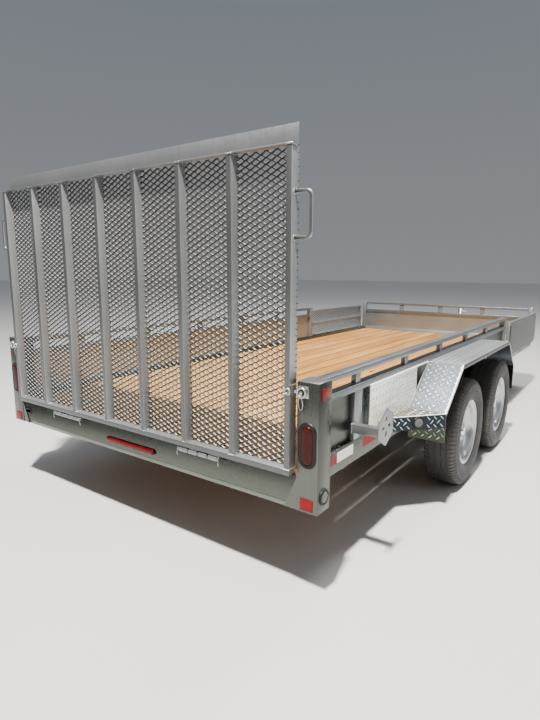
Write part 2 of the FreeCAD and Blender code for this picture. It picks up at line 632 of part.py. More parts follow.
def rim():
    """One-piece wheel: barrel, deep bowl, thick pad with lug pockets, cap, and the hub and drum behind."""
    edge = RIM_WIDTH / 2
    wall = RIM_WALL
    seat = BEAD_RADIUS
    well = seat - WELL_DEPTH
    pad = RIM_PAD_DEPTH
    lip = RIM_FLANGE_RADIUS
    outside = [(-edge, lip), (wall - edge, lip), (wall - edge, seat), (-edge / 2, seat), (-edge / 3, well),
               (0, well), (edge / 5, seat), (edge - wall, seat), (edge - wall, lip), (edge, lip)]
    mouth = edge - 2 * wall
    deep = RIM_BOWL_RADIUS
    thick = BOWL_THICKNESS
    bowl = (mouth - RIM_BOWL_DEEPEST, seat - 2 * wall - RIM_LIP_STEP - deep)
    rise = (pad - RIM_BOWL_DEEPEST, deep - RIM_PAD_RADIUS)
    face = [(edge, seat - wall), (mouth, seat - 2 * wall)]
    face += ellipse_points((mouth, deep), bowl, 90, 180) + ellipse_points((pad, deep), rise, 180, 270)[1:]
    face += [(pad, CAP_RADIUS), (pad + CAP_HEIGHT, CAP_RADIUS - wall), (pad + CAP_HEIGHT, 0)]
    back = [(pad - RIM_PAD_THICKNESS, 0)]
    back += ellipse_points((pad, deep), (rise[0] + thick, rise[1] + thick), 225, 180)
    back += ellipse_points((mouth, deep), (bowl[0] + thick, bowl[1] + thick), 180, 135)[1:]
    back += [(edge / 2, seat - 2 * wall), (edge / 5, seat - wall), (0, well - wall), (-edge / 3, well - wall),
             (-edge / 2, seat - wall), (-edge, seat - wall)]
    wheel = wheel_spin(outside + face + back)
    drum_outer_x = DRUM_INNER_X + DRUM_WIDTH
    drum = wheel_spin([(DRUM_INNER_X, DRUM_RADIUS), (drum_outer_x, DRUM_RADIUS), (drum_outer_x, 0),
                       (drum_outer_x - DRUM_WALL, 0), (drum_outer_x - DRUM_WALL, DRUM_RADIUS - DRUM_WALL),
                       (DRUM_INNER_X, DRUM_RADIUS - DRUM_WALL)])
    hub = rod((DRUM_INNER_X, 0, 0), (1, 0, 0), HUB_RADIUS, pad - RIM_PAD_THICKNESS - DRUM_INNER_X)
    shape = fuse([wheel, drum, hub])
    cutters = [rod((DRUM_INNER_X, 0, 0), (1, 0, 0), SPINDLE_RADIUS + SPINDLE_CLEARANCE,
                   SPINDLE_END + SPINDLE_CLEARANCE - DRUM_INNER_X)]
    for index in range(LUG_COUNT):
        angle = math.radians(360 * index / LUG_COUNT - 90)
        place = (pad - LUG_POCKET_DEPTH, LUG_CIRCLE / 2 * math.cos(angle), LUG_CIRCLE / 2 * math.sin(angle))
        cutters.append(rod(place, (1, 0, 0), LUG_POCKET_RADIUS, LUG_POCKET_DEPTH + 1))
    for cutter in cutters:
        shape = shape.cut(cutter)
    return shape


def wheel_nodes():
    nodes = {}
    for row, axle in zip(("rear", "front"), AXLE_YS):
        place = Vector(WHEEL_X, axle, TYRE_RADIUS)
        for name, shape in (("tyre", tyre()), ("rim", rim())):
            shape.translate(place)
            nodes[f"{name}_{row}_right"] = [shape]
            nodes[f"{name}_{row}_left"] = [mirrored(shape)]
    return nodes


# Rear gate
def gate_rib_lefts():
    pitch = (2 * GATE_HALF_WIDTH - GATE_RIB_WIDTH) / (GATE_RIBS - 1)
    return [-GATE_HALF_WIDTH + index * pitch for index in range(GATE_RIBS)]


def gate_frame():
    depth = (GATE_REAR_Y, GATE_FRONT_Y)
    pieces = [tube((left, left + GATE_RIB_WIDTH), depth, (GATE_BOTTOM_RAIL_TOP_Z, GATE_TOP_FLANGE_Z), "z",
                   GATE_TUBE_WALL)
              for left in gate_rib_lefts()]
    width = (-GATE_HALF_WIDTH, GATE_HALF_WIDTH)
    pieces.append(tube(width, depth, (GATE_BOTTOM_Z, GATE_BOTTOM_RAIL_TOP_Z), "x", GATE_TUBE_WALL))
    pieces.append(block(width, depth, (GATE_TOP_FLANGE_Z, GATE_TOP_FLANGE_Z + GATE_ANGLE_WALL)))
    pieces.append(block(width, (GATE_FRONT_Y - GATE_ANGLE_WALL, GATE_FRONT_Y),
                        (GATE_TOP_FLANGE_Z + GATE_ANGLE_WALL, GATE_TOP_Z)))
    return pieces


def diamond_panel(x_low, x_high, z_low, z_high, y):
    """Sheet filled by staggered rows of diamond openings, flat side towards Y, solid along its edges."""
    open_width = x_high - x_low - 2 * STRAND_WIDTH
    open_height = z_high - z_low - 2 * STRAND_WIDTH
    columns = round(2 * open_width / DIAMOND_LENGTH) - 1
    rows = round(2 * open_height / DIAMOND_HEIGHT) - 1
    half_length = open_width / (columns + 1)
    half_height = open_height / (rows + 1)
    shrink = 1 - STRAND_WIDTH / 2 * math.hypot(half_length, half_height) / (half_length * half_height)
    wide = shrink * half_length
    tall = shrink * half_height
    wires = [Part.makePolygon([Vector(x_low, y, z_low), Vector(x_high, y, z_low), Vector(x_high, y, z_high),
                               Vector(x_low, y, z_high), Vector(x_low, y, z_low)])]
    for row in range(rows):
        for column in range(row % 2, columns, 2):
            x = x_low + STRAND_WIDTH + (column + 1) * half_length
            z = z_low + STRAND_WIDTH + (row + 1) * half_height
            corners = [Vector(x - wide, y, z), Vector(x, y, z + tall), Vector(x + wide, y, z),
                       Vector(x, y, z - tall)]
            wires.append(Part.makePolygon(corners + corners[:1]))
    return Part.Face(wires).extrude(Vector(0, MESH_THICKNESS, 0))


def gate_mesh():
    """Expanded metal between the ribs, drawn with diamonds of twice the real size."""
    lefts = gate_rib_lefts()
    return [diamond_panel(left + GATE_RIB_WIDTH, right, GATE_BOTTOM_RAIL_TOP_Z, GATE_TOP_FLANGE_Z,
                          GATE_FRONT_Y - MESH_THICKNESS) for left, right in zip(lefts[:-1], lefts[1:])]


def gate_handles():
    """D handle of round rod on the outer face of each side of the gate."""
    x = GATE_HALF_WIDTH
    far = x + HANDLE_REACH
    y = (GATE_REAR_Y + GATE_FRONT_Y) / 2
    bend = HANDLE_BEND_RADIUS
    corner = bend * (1 - math.sqrt(0.5))
    high = HANDLE_TOP_Z
    low = HANDLE_BOTTOM_Z
    edges = [Part.makeLine(Vector(x, y, high), Vector(far - bend, y, high)),
             Part.Arc(Vector(far - bend, y, high), Vector(far - corner, y, high - corner),
                      Vector(far, y, high - bend)).toShape(),
             Part.makeLine(Vector(far, y, high - bend), Vector(far, y, low + bend)),
             Part.Arc(Vector(far, y, low + bend), Vector(far - corner, y, low + corner),
                      Vector(far - bend, y, low)).toShape(),
             Part.makeLine(Vector(far - bend, y, low), Vector(x, y, low))]
    section = Part.Wire([Part.makeCircle(HANDLE_ROD_RADIUS, Vector(x, y, high), Vector(1, 0, 0))])
    handle = Part.Wire(edges).makePipeShell([section], True, False)
    return both_sides([handle])


def knuckle_starts(first):
    """Left ends of every second knuckle of both hinges, beginning with the one numbered first."""
    pitch = KNUCKLE_LENGTH + KNUCKLE_GAP
    starts = []
    for side in (-1, 1):
        left = side * GATE_HINGE_X - (KNUCKLES * pitch - KNUCKLE_GAP) / 2
        starts.append([left + index * pitch for index in range(first, KNUCKLES, 2)])
    return starts


def gate_hinges():
    """Knuckles that hang from the gate's bottom rail."""
    knuckles = []
    for x in sum(knuckle_starts(1), []):
        barrel = rod((x, GATE_HINGE_Y, GATE_HINGE_Z), (1, 0, 0), KNUCKLE_RADIUS, KNUCKLE_LENGTH)
        lug = block((x, x + KNUCKLE_LENGTH), (GATE_HINGE_Y - PIN_RADIUS, GATE_HINGE_Y + PIN_RADIUS),
                    (GATE_HINGE_Z, GATE_BOTTOM_Z))
        bore = rod((x, GATE_HINGE_Y, GATE_HINGE_Z), (1, 0, 0), PIN_RADIUS + PIN_CLEARANCE, KNUCKLE_LENGTH)
        knuckles.append(fuse([barrel, lug]).cut(bore))
    return knuckles


def gate_strikers():
    """Plate with the latch pin's hole on each side of the gate."""
    y = (GATE_REAR_Y + GATE_FRONT_Y) / 2
    half = LATCH_PLATE / 2
    far = GATE_HALF_WIDTH + LATCH_THICKNESS
    plate = block((GATE_HALF_WIDTH, far), (y - STRIKER_HALF_DEPTH, y + STRIKER_HALF_DEPTH),
                  (LATCH_Z - half, LATCH_Z + half))
    hole = rod((GATE_HALF_WIDTH, y, LATCH_Z), (1, 0, 0), LATCH_PIN_RADIUS + LATCH_PIN_GAP, LATCH_THICKNESS)
    return both_sides([plate.cut(hole)])


def gate_hinge_brackets():
    """Knuckles on the bulkhead, each pair with the pin that runs through the gate's knuckles."""
    brackets = []
    reach = KNUCKLES * (KNUCKLE_LENGTH + KNUCKLE_GAP) - KNUCKLE_GAP
    for starts in knuckle_starts(0):
        pieces = [rod((starts[0] - PIN_END, GATE_HINGE_Y, GATE_HINGE_Z), (1, 0, 0), PIN_RADIUS,
                      reach + 2 * PIN_END)]
        for x in starts:
            pieces.append(rod((x, GATE_HINGE_Y, GATE_HINGE_Z), (1, 0, 0), KNUCKLE_RADIUS, KNUCKLE_LENGTH))
            pieces.append(block((x, x + KNUCKLE_LENGTH), (GATE_HINGE_Y, BULKHEAD_REAR_Y),
                                (GATE_HINGE_Z - KNUCKLE_RADIUS, GATE_HINGE_Z + PIN_RADIUS)))
        brackets.append(fuse(pieces))
    return brackets


# Side gates, right one drawn and mirrored
def side_gate_frame():
    x = (SIDE_GATE_INNER_X, SIDE_GATE_INNER_X + SIDE_GATE_TUBE)
    low = SIDE_GATE_BOTTOM_Z
    high = SIDE_GATE_TOP_Z
    size = SIDE_GATE_TUBE
    middle = (low + high) / 2
    pieces = [block(x, (SIDE_GATE_REAR_Y + size, SIDE_GATE_FRONT_Y - size), (z, z + size))
              for z in (low, middle - size / 2, high - size)]
    for y in (SIDE_GATE_REAR_Y, SIDE_GATE_FRONT_Y - size):
        pieces.append(block(x, (y, y + size), (low, high)))
    half = SIDE_HINGE_LENGTH / 2
    for y in side_hinge_centres():
        barrel = rod((SIDE_HINGE_X, y - half, SIDE_GATE_HINGE_Z), (0, 1, 0), SIDE_KNUCKLE_RADIUS,
                     SIDE_HINGE_LENGTH)
        lug = block((SIDE_HINGE_X - SIDE_LUG_THICKNESS / 2, SIDE_HINGE_X + SIDE_LUG_THICKNESS / 2),
                    (y - half, y + half), (SIDE_GATE_HINGE_Z, low))
        bore = rod((SIDE_HINGE_X, y - half, SIDE_GATE_HINGE_Z), (0, 1, 0), SIDE_PIN_RADIUS + PIN_CLEARANCE,
                   SIDE_HINGE_LENGTH)
        pieces.append(fuse([barrel, lug]).cut(bore))
    return pieces


def side_hinge_centres():
    middle = (SIDE_GATE_REAR_Y + SIDE_GATE_FRONT_Y) / 2
    return [SIDE_GATE_REAR_Y + SIDE_HINGE_INSET, middle, SIDE_GATE_FRONT_Y - SIDE_HINGE_INSET]


def side_gate_mesh():
    """Expanded metal over the gate's whole outer face."""
    panel = diamond_panel(SIDE_GATE_REAR_Y, SIDE_GATE_FRONT_Y, SIDE_GATE_BOTTOM_Z, SIDE_GATE_TOP_Z, 0)
    panel.rotate(Vector(0, 0, 0), Vector(0, 0, 1), 90)
    panel.translate(Vector(SIDE_GATE_INNER_X + SIDE_GATE_TUBE + MESH_THICKNESS, 0, 0))
    return panel


def side_hinge_brackets():
    brackets = []
    half = SIDE_HINGE_LENGTH / 2
    reach = half + KNUCKLE_GAP + SIDE_HINGE_END_LENGTH + SIDE_PIN_OVERHANG
    thick = SIDE_BRACKET_THICKNESS
    for y in side_hinge_centres():
        pieces = [rod((SIDE_HINGE_X, y - reach, SIDE_GATE_HINGE_Z), (0, 1, 0), SIDE_PIN_RADIUS, 2 * reach)]
        for start in (y - half - KNUCKLE_GAP - SIDE_HINGE_END_LENGTH, y + half + KNUCKLE_GAP):
            pieces.append(rod((SIDE_HINGE_X, start, SIDE_GATE_HINGE_Z), (0, 1, 0), SIDE_KNUCKLE_RADIUS,
                              SIDE_HINGE_END_LENGTH))
            pieces.append(block((WALL_OUTER_X, SIDE_HINGE_X), (start, start + SIDE_HINGE_END_LENGTH),
                                (SIDE_GATE_HINGE_Z - thick / 2, SIDE_GATE_HINGE_Z + thick / 2)))
        brackets.append(fuse(pieces))
    return both_sides(brackets)


# Tongue
def tongue_beams():
    top = CROSSMEMBER_BOTTOM_Z
    run = Vector(TONGUE_NOSE_X - TONGUE_REAR_X, TONGUE_NOSE_Y - TONGUE_REAR_Y, 0)
    run.normalize()
    across = Vector(run.y, -run.x, 0) * (TONGUE_BEAM_WIDTH / 2)
    slope = run.x / run.y
    rear = [(TONGUE_REAR_X - TONGUE_BEAM_WIDTH / 2 / run.y, TONGUE_REAR_Y),
            (TONGUE_REAR_X + TONGUE_BEAM_WIDTH / 2 / run.y, TONGUE_REAR_Y)]
    length = TONGUE_NOSE_Y - TONGUE_REAR_Y
    nose = [(x + slope * length, TONGUE_NOSE_Y) for x, y in reversed(rear)]
    beam = plan_prism(rear + nose, top - TONGUE_BEAM_HEIGHT, top)
    return both_sides([beam])


def tongue_half_width(y):
    """Distance from the middle to the centre line of a tongue beam."""
    share = (TONGUE_NOSE_Y - y) / (TONGUE_NOSE_Y - TONGUE_REAR_Y)
    return TONGUE_NOSE_X + (TONGUE_REAR_X - TONGUE_NOSE_X) * share


def coupler():
    """Socket block with its latch lever and the plate that joins the beams' tops."""
    y = COUPLER_BALL_Y
    half = COUPLER_WIDTH / 2
    top = COUPLER_BALL_Z + COUPLER_HEIGHT - BALL_RADIUS
    low = COUPLER_BALL_Z - COUPLER_LIP
    beam_top = CROSSMEMBER_BOTTOM_Z
    nose = rod((0, y, low), (0, 0, 1), half, top - low)
    body = block((-half, half), (TONGUE_NOSE_Y, y), (low, top))
    plate_rear = TONGUE_NOSE_Y - TONGUE_PLATE_LENGTH
    wide = tongue_half_width(plate_rear) + TONGUE_BEAM_WIDTH / 2
    plate = plan_prism([(-half, y), (-wide, plate_rear), (wide, plate_rear), (half, y)],
                       beam_top, beam_top + TONGUE_PLATE_THICKNESS)
    lever = block((-COUPLER_LEVER_WIDTH / 2, COUPLER_LEVER_WIDTH / 2),
                  (y - COUPLER_LEVER_BEHIND_BALL, y + COUPLER_LEVER_PAST_BALL),
                  (top, top + COUPLER_LEVER_HEIGHT))
    socket = Part.makeSphere(BALL_RADIUS + SOCKET_CLEARANCE, Vector(0, y, COUPLER_BALL_Z))
    throat = rod((0, y, low), (0, 0, 1), BALL_RADIUS + SOCKET_CLEARANCE, COUPLER_LIP)
    return [fuse([nose, body, plate, lever]).cut(socket).cut(throat)]


def jack_tube():
    """Outer tube with its mounting plate and the crank on its side."""
    bottom = JACK_TUBE_BOTTOM_Z
    outer = rod((0, JACK_Y, bottom), (0, 0, 1), JACK_TUBE_RADIUS, JACK_TUBE_TOP_Z - bottom)
    inner = rod((0, JACK_Y, bottom), (0, 0, 1), JACK_TUBE_RADIUS - JACK_TUBE_WALL,
                JACK_TUBE_TOP_Z - bottom - JACK_CAP_THICKNESS)
    rear = JACK_Y - JACK_PLATE_LENGTH / 2
    front = JACK_Y + JACK_PLATE_LENGTH / 2
    rear_x = tongue_half_width(rear)
    front_x = tongue_half_width(front)
    plate = plan_prism([(-rear_x, rear), (rear_x, rear), (front_x, front), (-front_x, front)],
                       CROSSMEMBER_BOTTOM_Z, CROSSMEMBER_BOTTOM_Z + JACK_PLATE_THICKNESS)
    crank_z = JACK_TUBE_TOP_Z - CRANK_BELOW_TOP
    stub = rod((0, JACK_Y, crank_z), (1, 0, 0), CRANK_ROD_RADIUS, CRANK_REACH + CRANK_ROD_RADIUS)
    arm = rod((CRANK_REACH, JACK_Y, crank_z), (0, -1, 0), CRANK_ROD_RADIUS, CRANK_LENGTH + CRANK_ROD_RADIUS)
    grip = rod((CRANK_REACH, JACK_Y - CRANK_LENGTH, crank_z), (1, 0, 0), CRANK_GRIP_RADIUS, CRANK_GRIP_LENGTH)
    return [fuse([outer, plate, stub, arm, grip]).cut(inner)]


def jack_leg():
    radius = JACK_TUBE_RADIUS - JACK_TUBE_WALL - JACK_LEG_CLEARANCE
    leg = rod((0, JACK_Y, 0), (0, 0, 1), radius, JACK_LEG_TOP_Z)
    foot = rod((0, JACK_Y, 0), (0, 0, 1), JACK_FOOT_RADIUS, JACK_FOOT_THICKNESS)
    return [fuse([leg, foot])]


# Spare-wheel carrier, on the right side only
def spare_carrier():
    """Arm and six-sided plate with a cross of four slots for the spare wheel's bolts."""
    half = CARRIER_ARM_SIZE / 2
    radius = CARRIER_SLOT_WIDTH / 2
    thickness = CARRIER_PLATE_THICKNESS
    arm_top = CARRIER_Z - CARRIER_SLOT_WIDTH
    arm = tube((WALL_OUTER_X, CARRIER_PLATE_X), (CARRIER_Y - half, CARRIER_Y + half),
               (arm_top - CARRIER_ARM_SIZE, arm_top), "x")
    corners = []
    for index in range(6):
        angle = math.radians(60 * index + 30)
        corners.append((CARRIER_Y + CARRIER_PLATE_RADIUS * math.cos(angle),
                        CARRIER_Z + CARRIER_PLATE_RADIUS * math.sin(angle)))
    plate = side_prism(corners, CARRIER_PLATE_X, CARRIER_PLATE_X + thickness)
    straight = (CARRIER_SLOT_LENGTH - CARRIER_SLOT_WIDTH) / 2
    slot = fuse([block((0, thickness), (-straight, straight), (-radius, radius)),
                 rod((0, straight, 0), (1, 0, 0), radius, thickness),
                 rod((0, -straight, 0), (1, 0, 0), radius, thickness)])
    for index in range(4):
        turned = slot.copy()
        turned.translate(Vector(CARRIER_PLATE_X, CARRIER_SLOT_SPACING / 2, 0))
        turned.rotate(Vector(0, 0, 0), Vector(1, 0, 0), 90 * index)
        turned.translate(Vector(0, CARRIER_Y, CARRIER_Z))
        plate = plate.cut(turned)
    return [fuse([arm, plate])]


# Lamps and reflectors
def stop_lamp_x():
    return BED_HALF_WIDTH + POST_SIZE / 2


def stop_lamps():
    lens = slot_face((stop_lamp_x(), 0, STOP_LAMP_Z), STOP_LAMP_HEIGHT, STOP_LAMP_WIDTH)
    return both_sides([lens.extrude(Vector(0, -LENS_PROUD, 0))])


def step_lamp_place():
    """Point on the step's diagonal flange, and the way its lamp looks."""
    run = Vector(FENDER_OUTER_X - WALL_OUTER_X, REAR_FOOT_Y - STEP_REAR_Y, 0)
    out = Vector(run.y, -run.x, 0)
    out.normalize()
    middle = Vector(WALL_OUTER_X, STEP_REAR_Y, REAR_FOOT_Z - STEP_FLANGE_HEIGHT / 2) + run * 0.5
    return middle, out


def round_lamp_places():
    """Each place is a point on the carrying face and the way the lamp looks."""
    side = (Vector(POST_OUTER_X, POST_SIZE / 2, SIDE_LAMP_Z), Vector(1, 0, 0))
    return [side, step_lamp_place()]


def lamp_grommets():
    lens = slot_face((stop_lamp_x(), 0, STOP_LAMP_Z), STOP_LAMP_HEIGHT, STOP_LAMP_WIDTH)
    ring = slot_face((stop_lamp_x(), 0, STOP_LAMP_Z), STOP_LAMP_HEIGHT + 2 * GROMMET_BORDER,
                     STOP_LAMP_WIDTH + 2 * GROMMET_BORDER)
    rings = [ring.cut(lens).extrude(Vector(0, -GROMMET_PROUD, 0))]
    for place, out in round_lamp_places():
        outer = Part.makeCylinder(ROUND_GROMMET_RADIUS, GROMMET_PROUD, place, out)
        rings.append(outer.cut(Part.makeCylinder(ROUND_LAMP_RADIUS, GROMMET_PROUD, place, out)))
    return both_sides(rings)


def marker_lamps():
    return both_sides([Part.makeCylinder(ROUND_LAMP_RADIUS, LENS_PROUD, place, out)
                       for place, out in round_lamp_places()])


def id_bar():
    rear = BULKHEAD_REAR_Y
    low = ID_BAR_Z - ID_BAR_HEIGHT / 2
    pieces = [block((-ID_BAR_LENGTH / 2, ID_BAR_LENGTH / 2), (rear - ID_BAR_DEPTH, rear),
                    (low, low + ID_BAR_HEIGHT))]
    for x in (-ID_BAR_LENGTH / 3, 0, ID_BAR_LENGTH / 3):
        pieces.append(block((x - ID_LENS_LENGTH / 2, x + ID_LENS_LENGTH / 2),
                            (rear - ID_BAR_DEPTH - ID_LENS_PROUD, rear - ID_BAR_DEPTH),
                            (low + ID_LENS_MARGIN, low + ID_BAR_HEIGHT - ID_LENS_MARGIN)))
    return [fuse(pieces)]


def reflectors():
    middle = stop_lamp_x()
    half = REFLECTOR_WIDTH / 2
    tall = REFLECTOR_HEIGHT / 2
    rear = block((middle - half, middle + half), (-REFLECTOR_THICKNESS, 0),
                 (LOW_REFLECTOR_Z - tall, LOW_REFLECTOR_Z + tall))
    side = block((POST_OUTER_X, POST_OUTER_X + REFLECTOR_THICKNESS),
                 (POST_SIZE / 2 - half, POST_SIZE / 2 + half),
                 (HIGH_REFLECTOR_Z - tall, HIGH_REFLECTOR_Z + tall))
    return both_sides([rear, side])


def gate_latches():
    """Spring latch with a pull ring, on the rear face of each corner post."""
    half = LATCH_PLATE / 2
    x = BED_HALF_WIDTH + half + LATCH_INSET
    plate = block((x - half, x + half), (-LATCH_THICKNESS, 0), (LATCH_Z - half, LATCH_Z + half))
    y = 1 - LATCH_THICKNESS - LATCH_BARREL_RADIUS
    barrel = rod((x - half, y, LATCH_Z), (1, 0, 0), LATCH_BARREL_RADIUS, LATCH_PLATE)
    pin_start = GATE_HALF_WIDTH + LATCH_PIN_SETBACK
    pin = rod((pin_start, y, LATCH_Z), (1, 0, 0), LATCH_PIN_RADIUS, x - pin_start)
    low = LATCH_Z - LATCH_BARREL_RADIUS - LATCH_RING_RADIUS / 2
    middle = (x, y - LATCH_RING_WALL / 2, low)
    ring = rod(middle, (0, 1, 0), LATCH_RING_RADIUS, LATCH_RING_WALL)
    ring = ring.cut(rod(middle, (0, 1, 0), LATCH_RING_RADIUS - LATCH_RING_WALL, LATCH_RING_WALL))
    return both_sides([fuse([plate, barrel, pin, ring])])


def all_nodes():
    nodes = {
        "side_rails": side_rails(),
        "crossmembers": crossmembers(),
        "rear_bulkhead": rear_bulkhead(),
        "rear_posts": rear_posts(),
        "wall_posts": wall_posts(),
        "top_rails": top_rails(),
        "mid_rails": mid_rails(),
        "rail_uprights": rail_uprights(),
        "wall_sheets": wall_sheets(),
        "wall_stiffeners": wall_stiffeners(),
        "deck_planks": deck_planks(),
        "tongue_beams": tongue_beams(),
        "coupler": coupler(),
        "jack_tube": jack_tube(),
        "fender_planks": fender_planks(),
        "fender_plates": fender_plates(),
        "fender_steps": fender_steps(),
        "axle_beams": axle_beams(),
        "axle_arms": axle_arms(),
        "axle_brackets": axle_brackets(),
        "spare_carrier": spare_carrier(),
        "stop_lamps": stop_lamps(),
        "lamp_grommets": lamp_grommets(),
        "marker_lamps": marker_lamps(),
        "id_bar": id_bar(),
        "reflectors": reflectors(),
        "gate_latches": gate_latches(),
        "gate_hinge_brackets": gate_hinge_brackets(),
        "side_hinge_brackets": side_hinge_brackets(),
        "gate_frame": gate_frame(),
        "gate_mesh": gate_mesh(),
        "gate_handles": gate_handles(),
        "gate_hinges": gate_hinges(),
        "gate_strikers": gate_strikers(),
        "side_gate_frame_right": side_gate_frame(),
        "side_gate_frame_left": [mirrored(piece) for piece in side_gate_frame()],
        "side_gate_mesh_right": [side_gate_mesh()],
        "side_gate_mesh_left": [mirrored(side_gate_mesh())],
        "jack_leg": jack_leg(),
    }
    nodes.update(wheel_nodes())
    return nodes


def export(nodes):
    os.makedirs("parts", exist_ok=True)
    for name, solids in nodes.items():
        shape = solids[0] if len(solids) == 1 else Part.makeCompound(solids)
        shape.translate(Vector(0, -MIDDLE_Y, 0))
        shape.exportStep(f"parts/{name}.step")
        state = "valid" if shape.isValid() else "not valid"
        print(name, len(shape.Solids), state, round(shape.Volume / 1e6, 2))


export(all_nodes())
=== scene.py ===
"""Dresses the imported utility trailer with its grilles, tread plate, planks, tyres, lamps and finishes.

Metres, +Z up, +Y towards the hitch. Laid out as an add-on and run as a script.
"""

from collections import namedtuple
import math
import random

import bmesh
import bpy
from mathutils import Matrix, Vector


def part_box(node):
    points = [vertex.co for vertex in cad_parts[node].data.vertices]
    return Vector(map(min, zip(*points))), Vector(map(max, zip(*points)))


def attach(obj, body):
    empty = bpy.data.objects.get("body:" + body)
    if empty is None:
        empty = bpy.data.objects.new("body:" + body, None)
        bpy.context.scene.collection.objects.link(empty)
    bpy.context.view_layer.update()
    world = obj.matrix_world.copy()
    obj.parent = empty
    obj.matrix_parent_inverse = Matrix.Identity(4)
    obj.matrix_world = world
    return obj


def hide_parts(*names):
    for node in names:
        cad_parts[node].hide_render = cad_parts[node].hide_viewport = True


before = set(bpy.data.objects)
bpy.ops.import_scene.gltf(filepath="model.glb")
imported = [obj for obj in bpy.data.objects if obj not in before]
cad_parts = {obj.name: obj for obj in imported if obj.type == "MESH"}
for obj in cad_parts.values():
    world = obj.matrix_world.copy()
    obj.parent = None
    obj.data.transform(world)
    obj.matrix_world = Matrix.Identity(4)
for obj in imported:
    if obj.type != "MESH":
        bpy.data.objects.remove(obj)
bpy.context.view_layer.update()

bl_info = {
    "name": "Utility Trailer Finishes",
    "version": (1, 0, 0),
    "blender": (4, 5, 0),
    "location": "3D View > Sidebar > Trailer",
    "description": "Detailed pieces, procedural finishes and a studio for an open utility trailer",
    "category": "Add Mesh",
}

# Places read from the frame
POSTS_LOW, POSTS_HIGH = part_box("rear_posts")
BULKHEAD_LOW, BULKHEAD_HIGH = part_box("rear_bulkhead")
DECK_LOW, DECK_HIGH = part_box("deck_planks")
GATE_LOW, GATE_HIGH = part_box("gate_frame")
GRILLE_LOW, GRILLE_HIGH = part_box("gate_mesh")
SIDE_GATE_LOW, SIDE_GATE_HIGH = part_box("side_gate_frame_right")
SIDE_GRILLE_LOW, SIDE_GRILLE_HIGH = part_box("side_gate_mesh_right")
RAIL_LOW, RAIL_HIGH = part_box("side_rails")
PLATES_LOW, PLATES_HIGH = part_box("fender_plates")
FENDER_LOW, FENDER_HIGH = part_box("fender_planks")
STEPS_LOW, STEPS_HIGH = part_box("fender_steps")
LAMPS_LOW, LAMPS_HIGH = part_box("stop_lamps")
ID_LOW, ID_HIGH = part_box("id_bar")
HANDLE_LOW, HANDLE_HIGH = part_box("gate_handles")
STRIKERS_LOW, STRIKERS_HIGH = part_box("gate_strikers")
CARRIER_LOW, CARRIER_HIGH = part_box("spare_carrier")
STIFFENERS_LOW, STIFFENERS_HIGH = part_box("wall_stiffeners")
LATCHES_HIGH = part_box("gate_latches")[1]
LEAVES_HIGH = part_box("gate_hinges")[1]
BRACKETS_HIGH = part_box("gate_hinge_brackets")[1]
MID_RAILS_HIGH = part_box("mid_rails")[1]
TOP_RAILS_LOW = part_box("top_rails")[0]
REAR_Y = POSTS_LOW.y
WALL_X = RAIL_HIGH.x
LATCH_Z = (STRIKERS_LOW.z + STRIKERS_HIGH.z) / 2


def rear(y):
    """Y in the frame from a distance ahead of the corner posts' rear face."""
    return REAR_Y + y


# Frame
POST_SIZE = 0.1
POST_MIDDLE_X = POSTS_HIGH.x - POST_SIZE / 2
POST_INNER_X = POSTS_HIGH.x - POST_SIZE
BULKHEAD_FACE_Y = rear(0.008)
RAIL_WIDTH = 0.05
SHEET_MIDDLE_X = WALL_X - RAIL_WIDTH / 2
UPRIGHT_WIDTH = 0.05
UPRIGHT_THICKNESS = 0.025
UPRIGHT_FIRST_Y = 0.461
UPRIGHT_PITCH = 0.6
UPRIGHTS = 5
MID_RAIL_LOW_Z = 0.822

# Gates
GATE_RIBS = 8
RIB_WIDTH = GRILLE_LOW.x - GATE_LOW.x
RIB_PITCH = (GATE_HIGH.x - GATE_LOW.x - RIB_WIDTH) / (GATE_RIBS - 1)
ANGLE_WALL = 0.005
LAP = 0.001
SIDE_TUBE = 0.03
SIDE_KNUCKLE_RADIUS = 0.009
SIDE_KNUCKLE_LENGTH = 0.06
SIDE_KNUCKLE_FROM_END = 0.2
SIDE_KNUCKLE_IN = 0.02
SIDE_LUG_THICKNESS = 0.008
GRILLE_PAST_RIB = 0.005
GRILLE_PAST_RAIL = 0.012
GRILLE_INSET = 0.0045
SIDE_GRILLE_GAP = 0.001
BOND_SHARE = 0.10
# Painted shade on the strands' rear and front faces, as shares of the grille's dark tint
REAR_FACE_PAINTED_SHADE = 1.0
FRONT_FACE_PAINTED_SHADE = 0.7
HINGE_Y = rear(-0.018)
HINGE_Z = 0.530
KNUCKLES = 4
KNUCKLE_LENGTH = 0.060
KNUCKLE_PITCH = KNUCKLE_LENGTH + 0.002
KNUCKLE_RADIUS = 0.012
KNUCKLE_END = 0.0028
BRACKET_PAST_KNUCKLE = 0.008
PIN_RADIUS = 0.005
PIN_LENGTH = KNUCKLES * KNUCKLE_PITCH + 0.014
LEAF_BEHIND = 0.0005
LEAF_AHEAD = 0.0045
LEAF_ABOVE = 0.004
LEAF_ROUND = 0.0008
BRACKET_AHEAD = 0.004
BRACKET_HALF = 0.003
WIRE_FROM_END = 0.004
WIRE_RING_RADIUS = 0.0095
HANDLE_RADIUS = 0.007
LATCH_HALF = 0.024
LATCH_PLATE = 0.004
LATCH_RIVET = 0.017
LATCH_BARREL_IN = 0.058
LATCH_BARREL_OUT = 0.0140
LATCH_KNOB_OUT = 0.0205
LATCH_RING_OUT = 0.0195
LATCH_RING_RADIUS = 0.0185
LATCH_RING_BAR = 0.0048
LATCH_LOOP_MIDDLE = Vector((-0.010, -0.0075, -0.048))
LATCH_LOOP_WIDE = Vector((0.010, 0, 0))
LATCH_LOOP_TALL = Vector((0, -0.004, 0.026))
STRIKER_RING_IN = 0.009
STRIKER_RING_OUT = 0.002
STRIKER_RING_RADIUS = 0.0118
STRIKER_RING_BAR = 0.0040
WELL_OUT = 0.0036

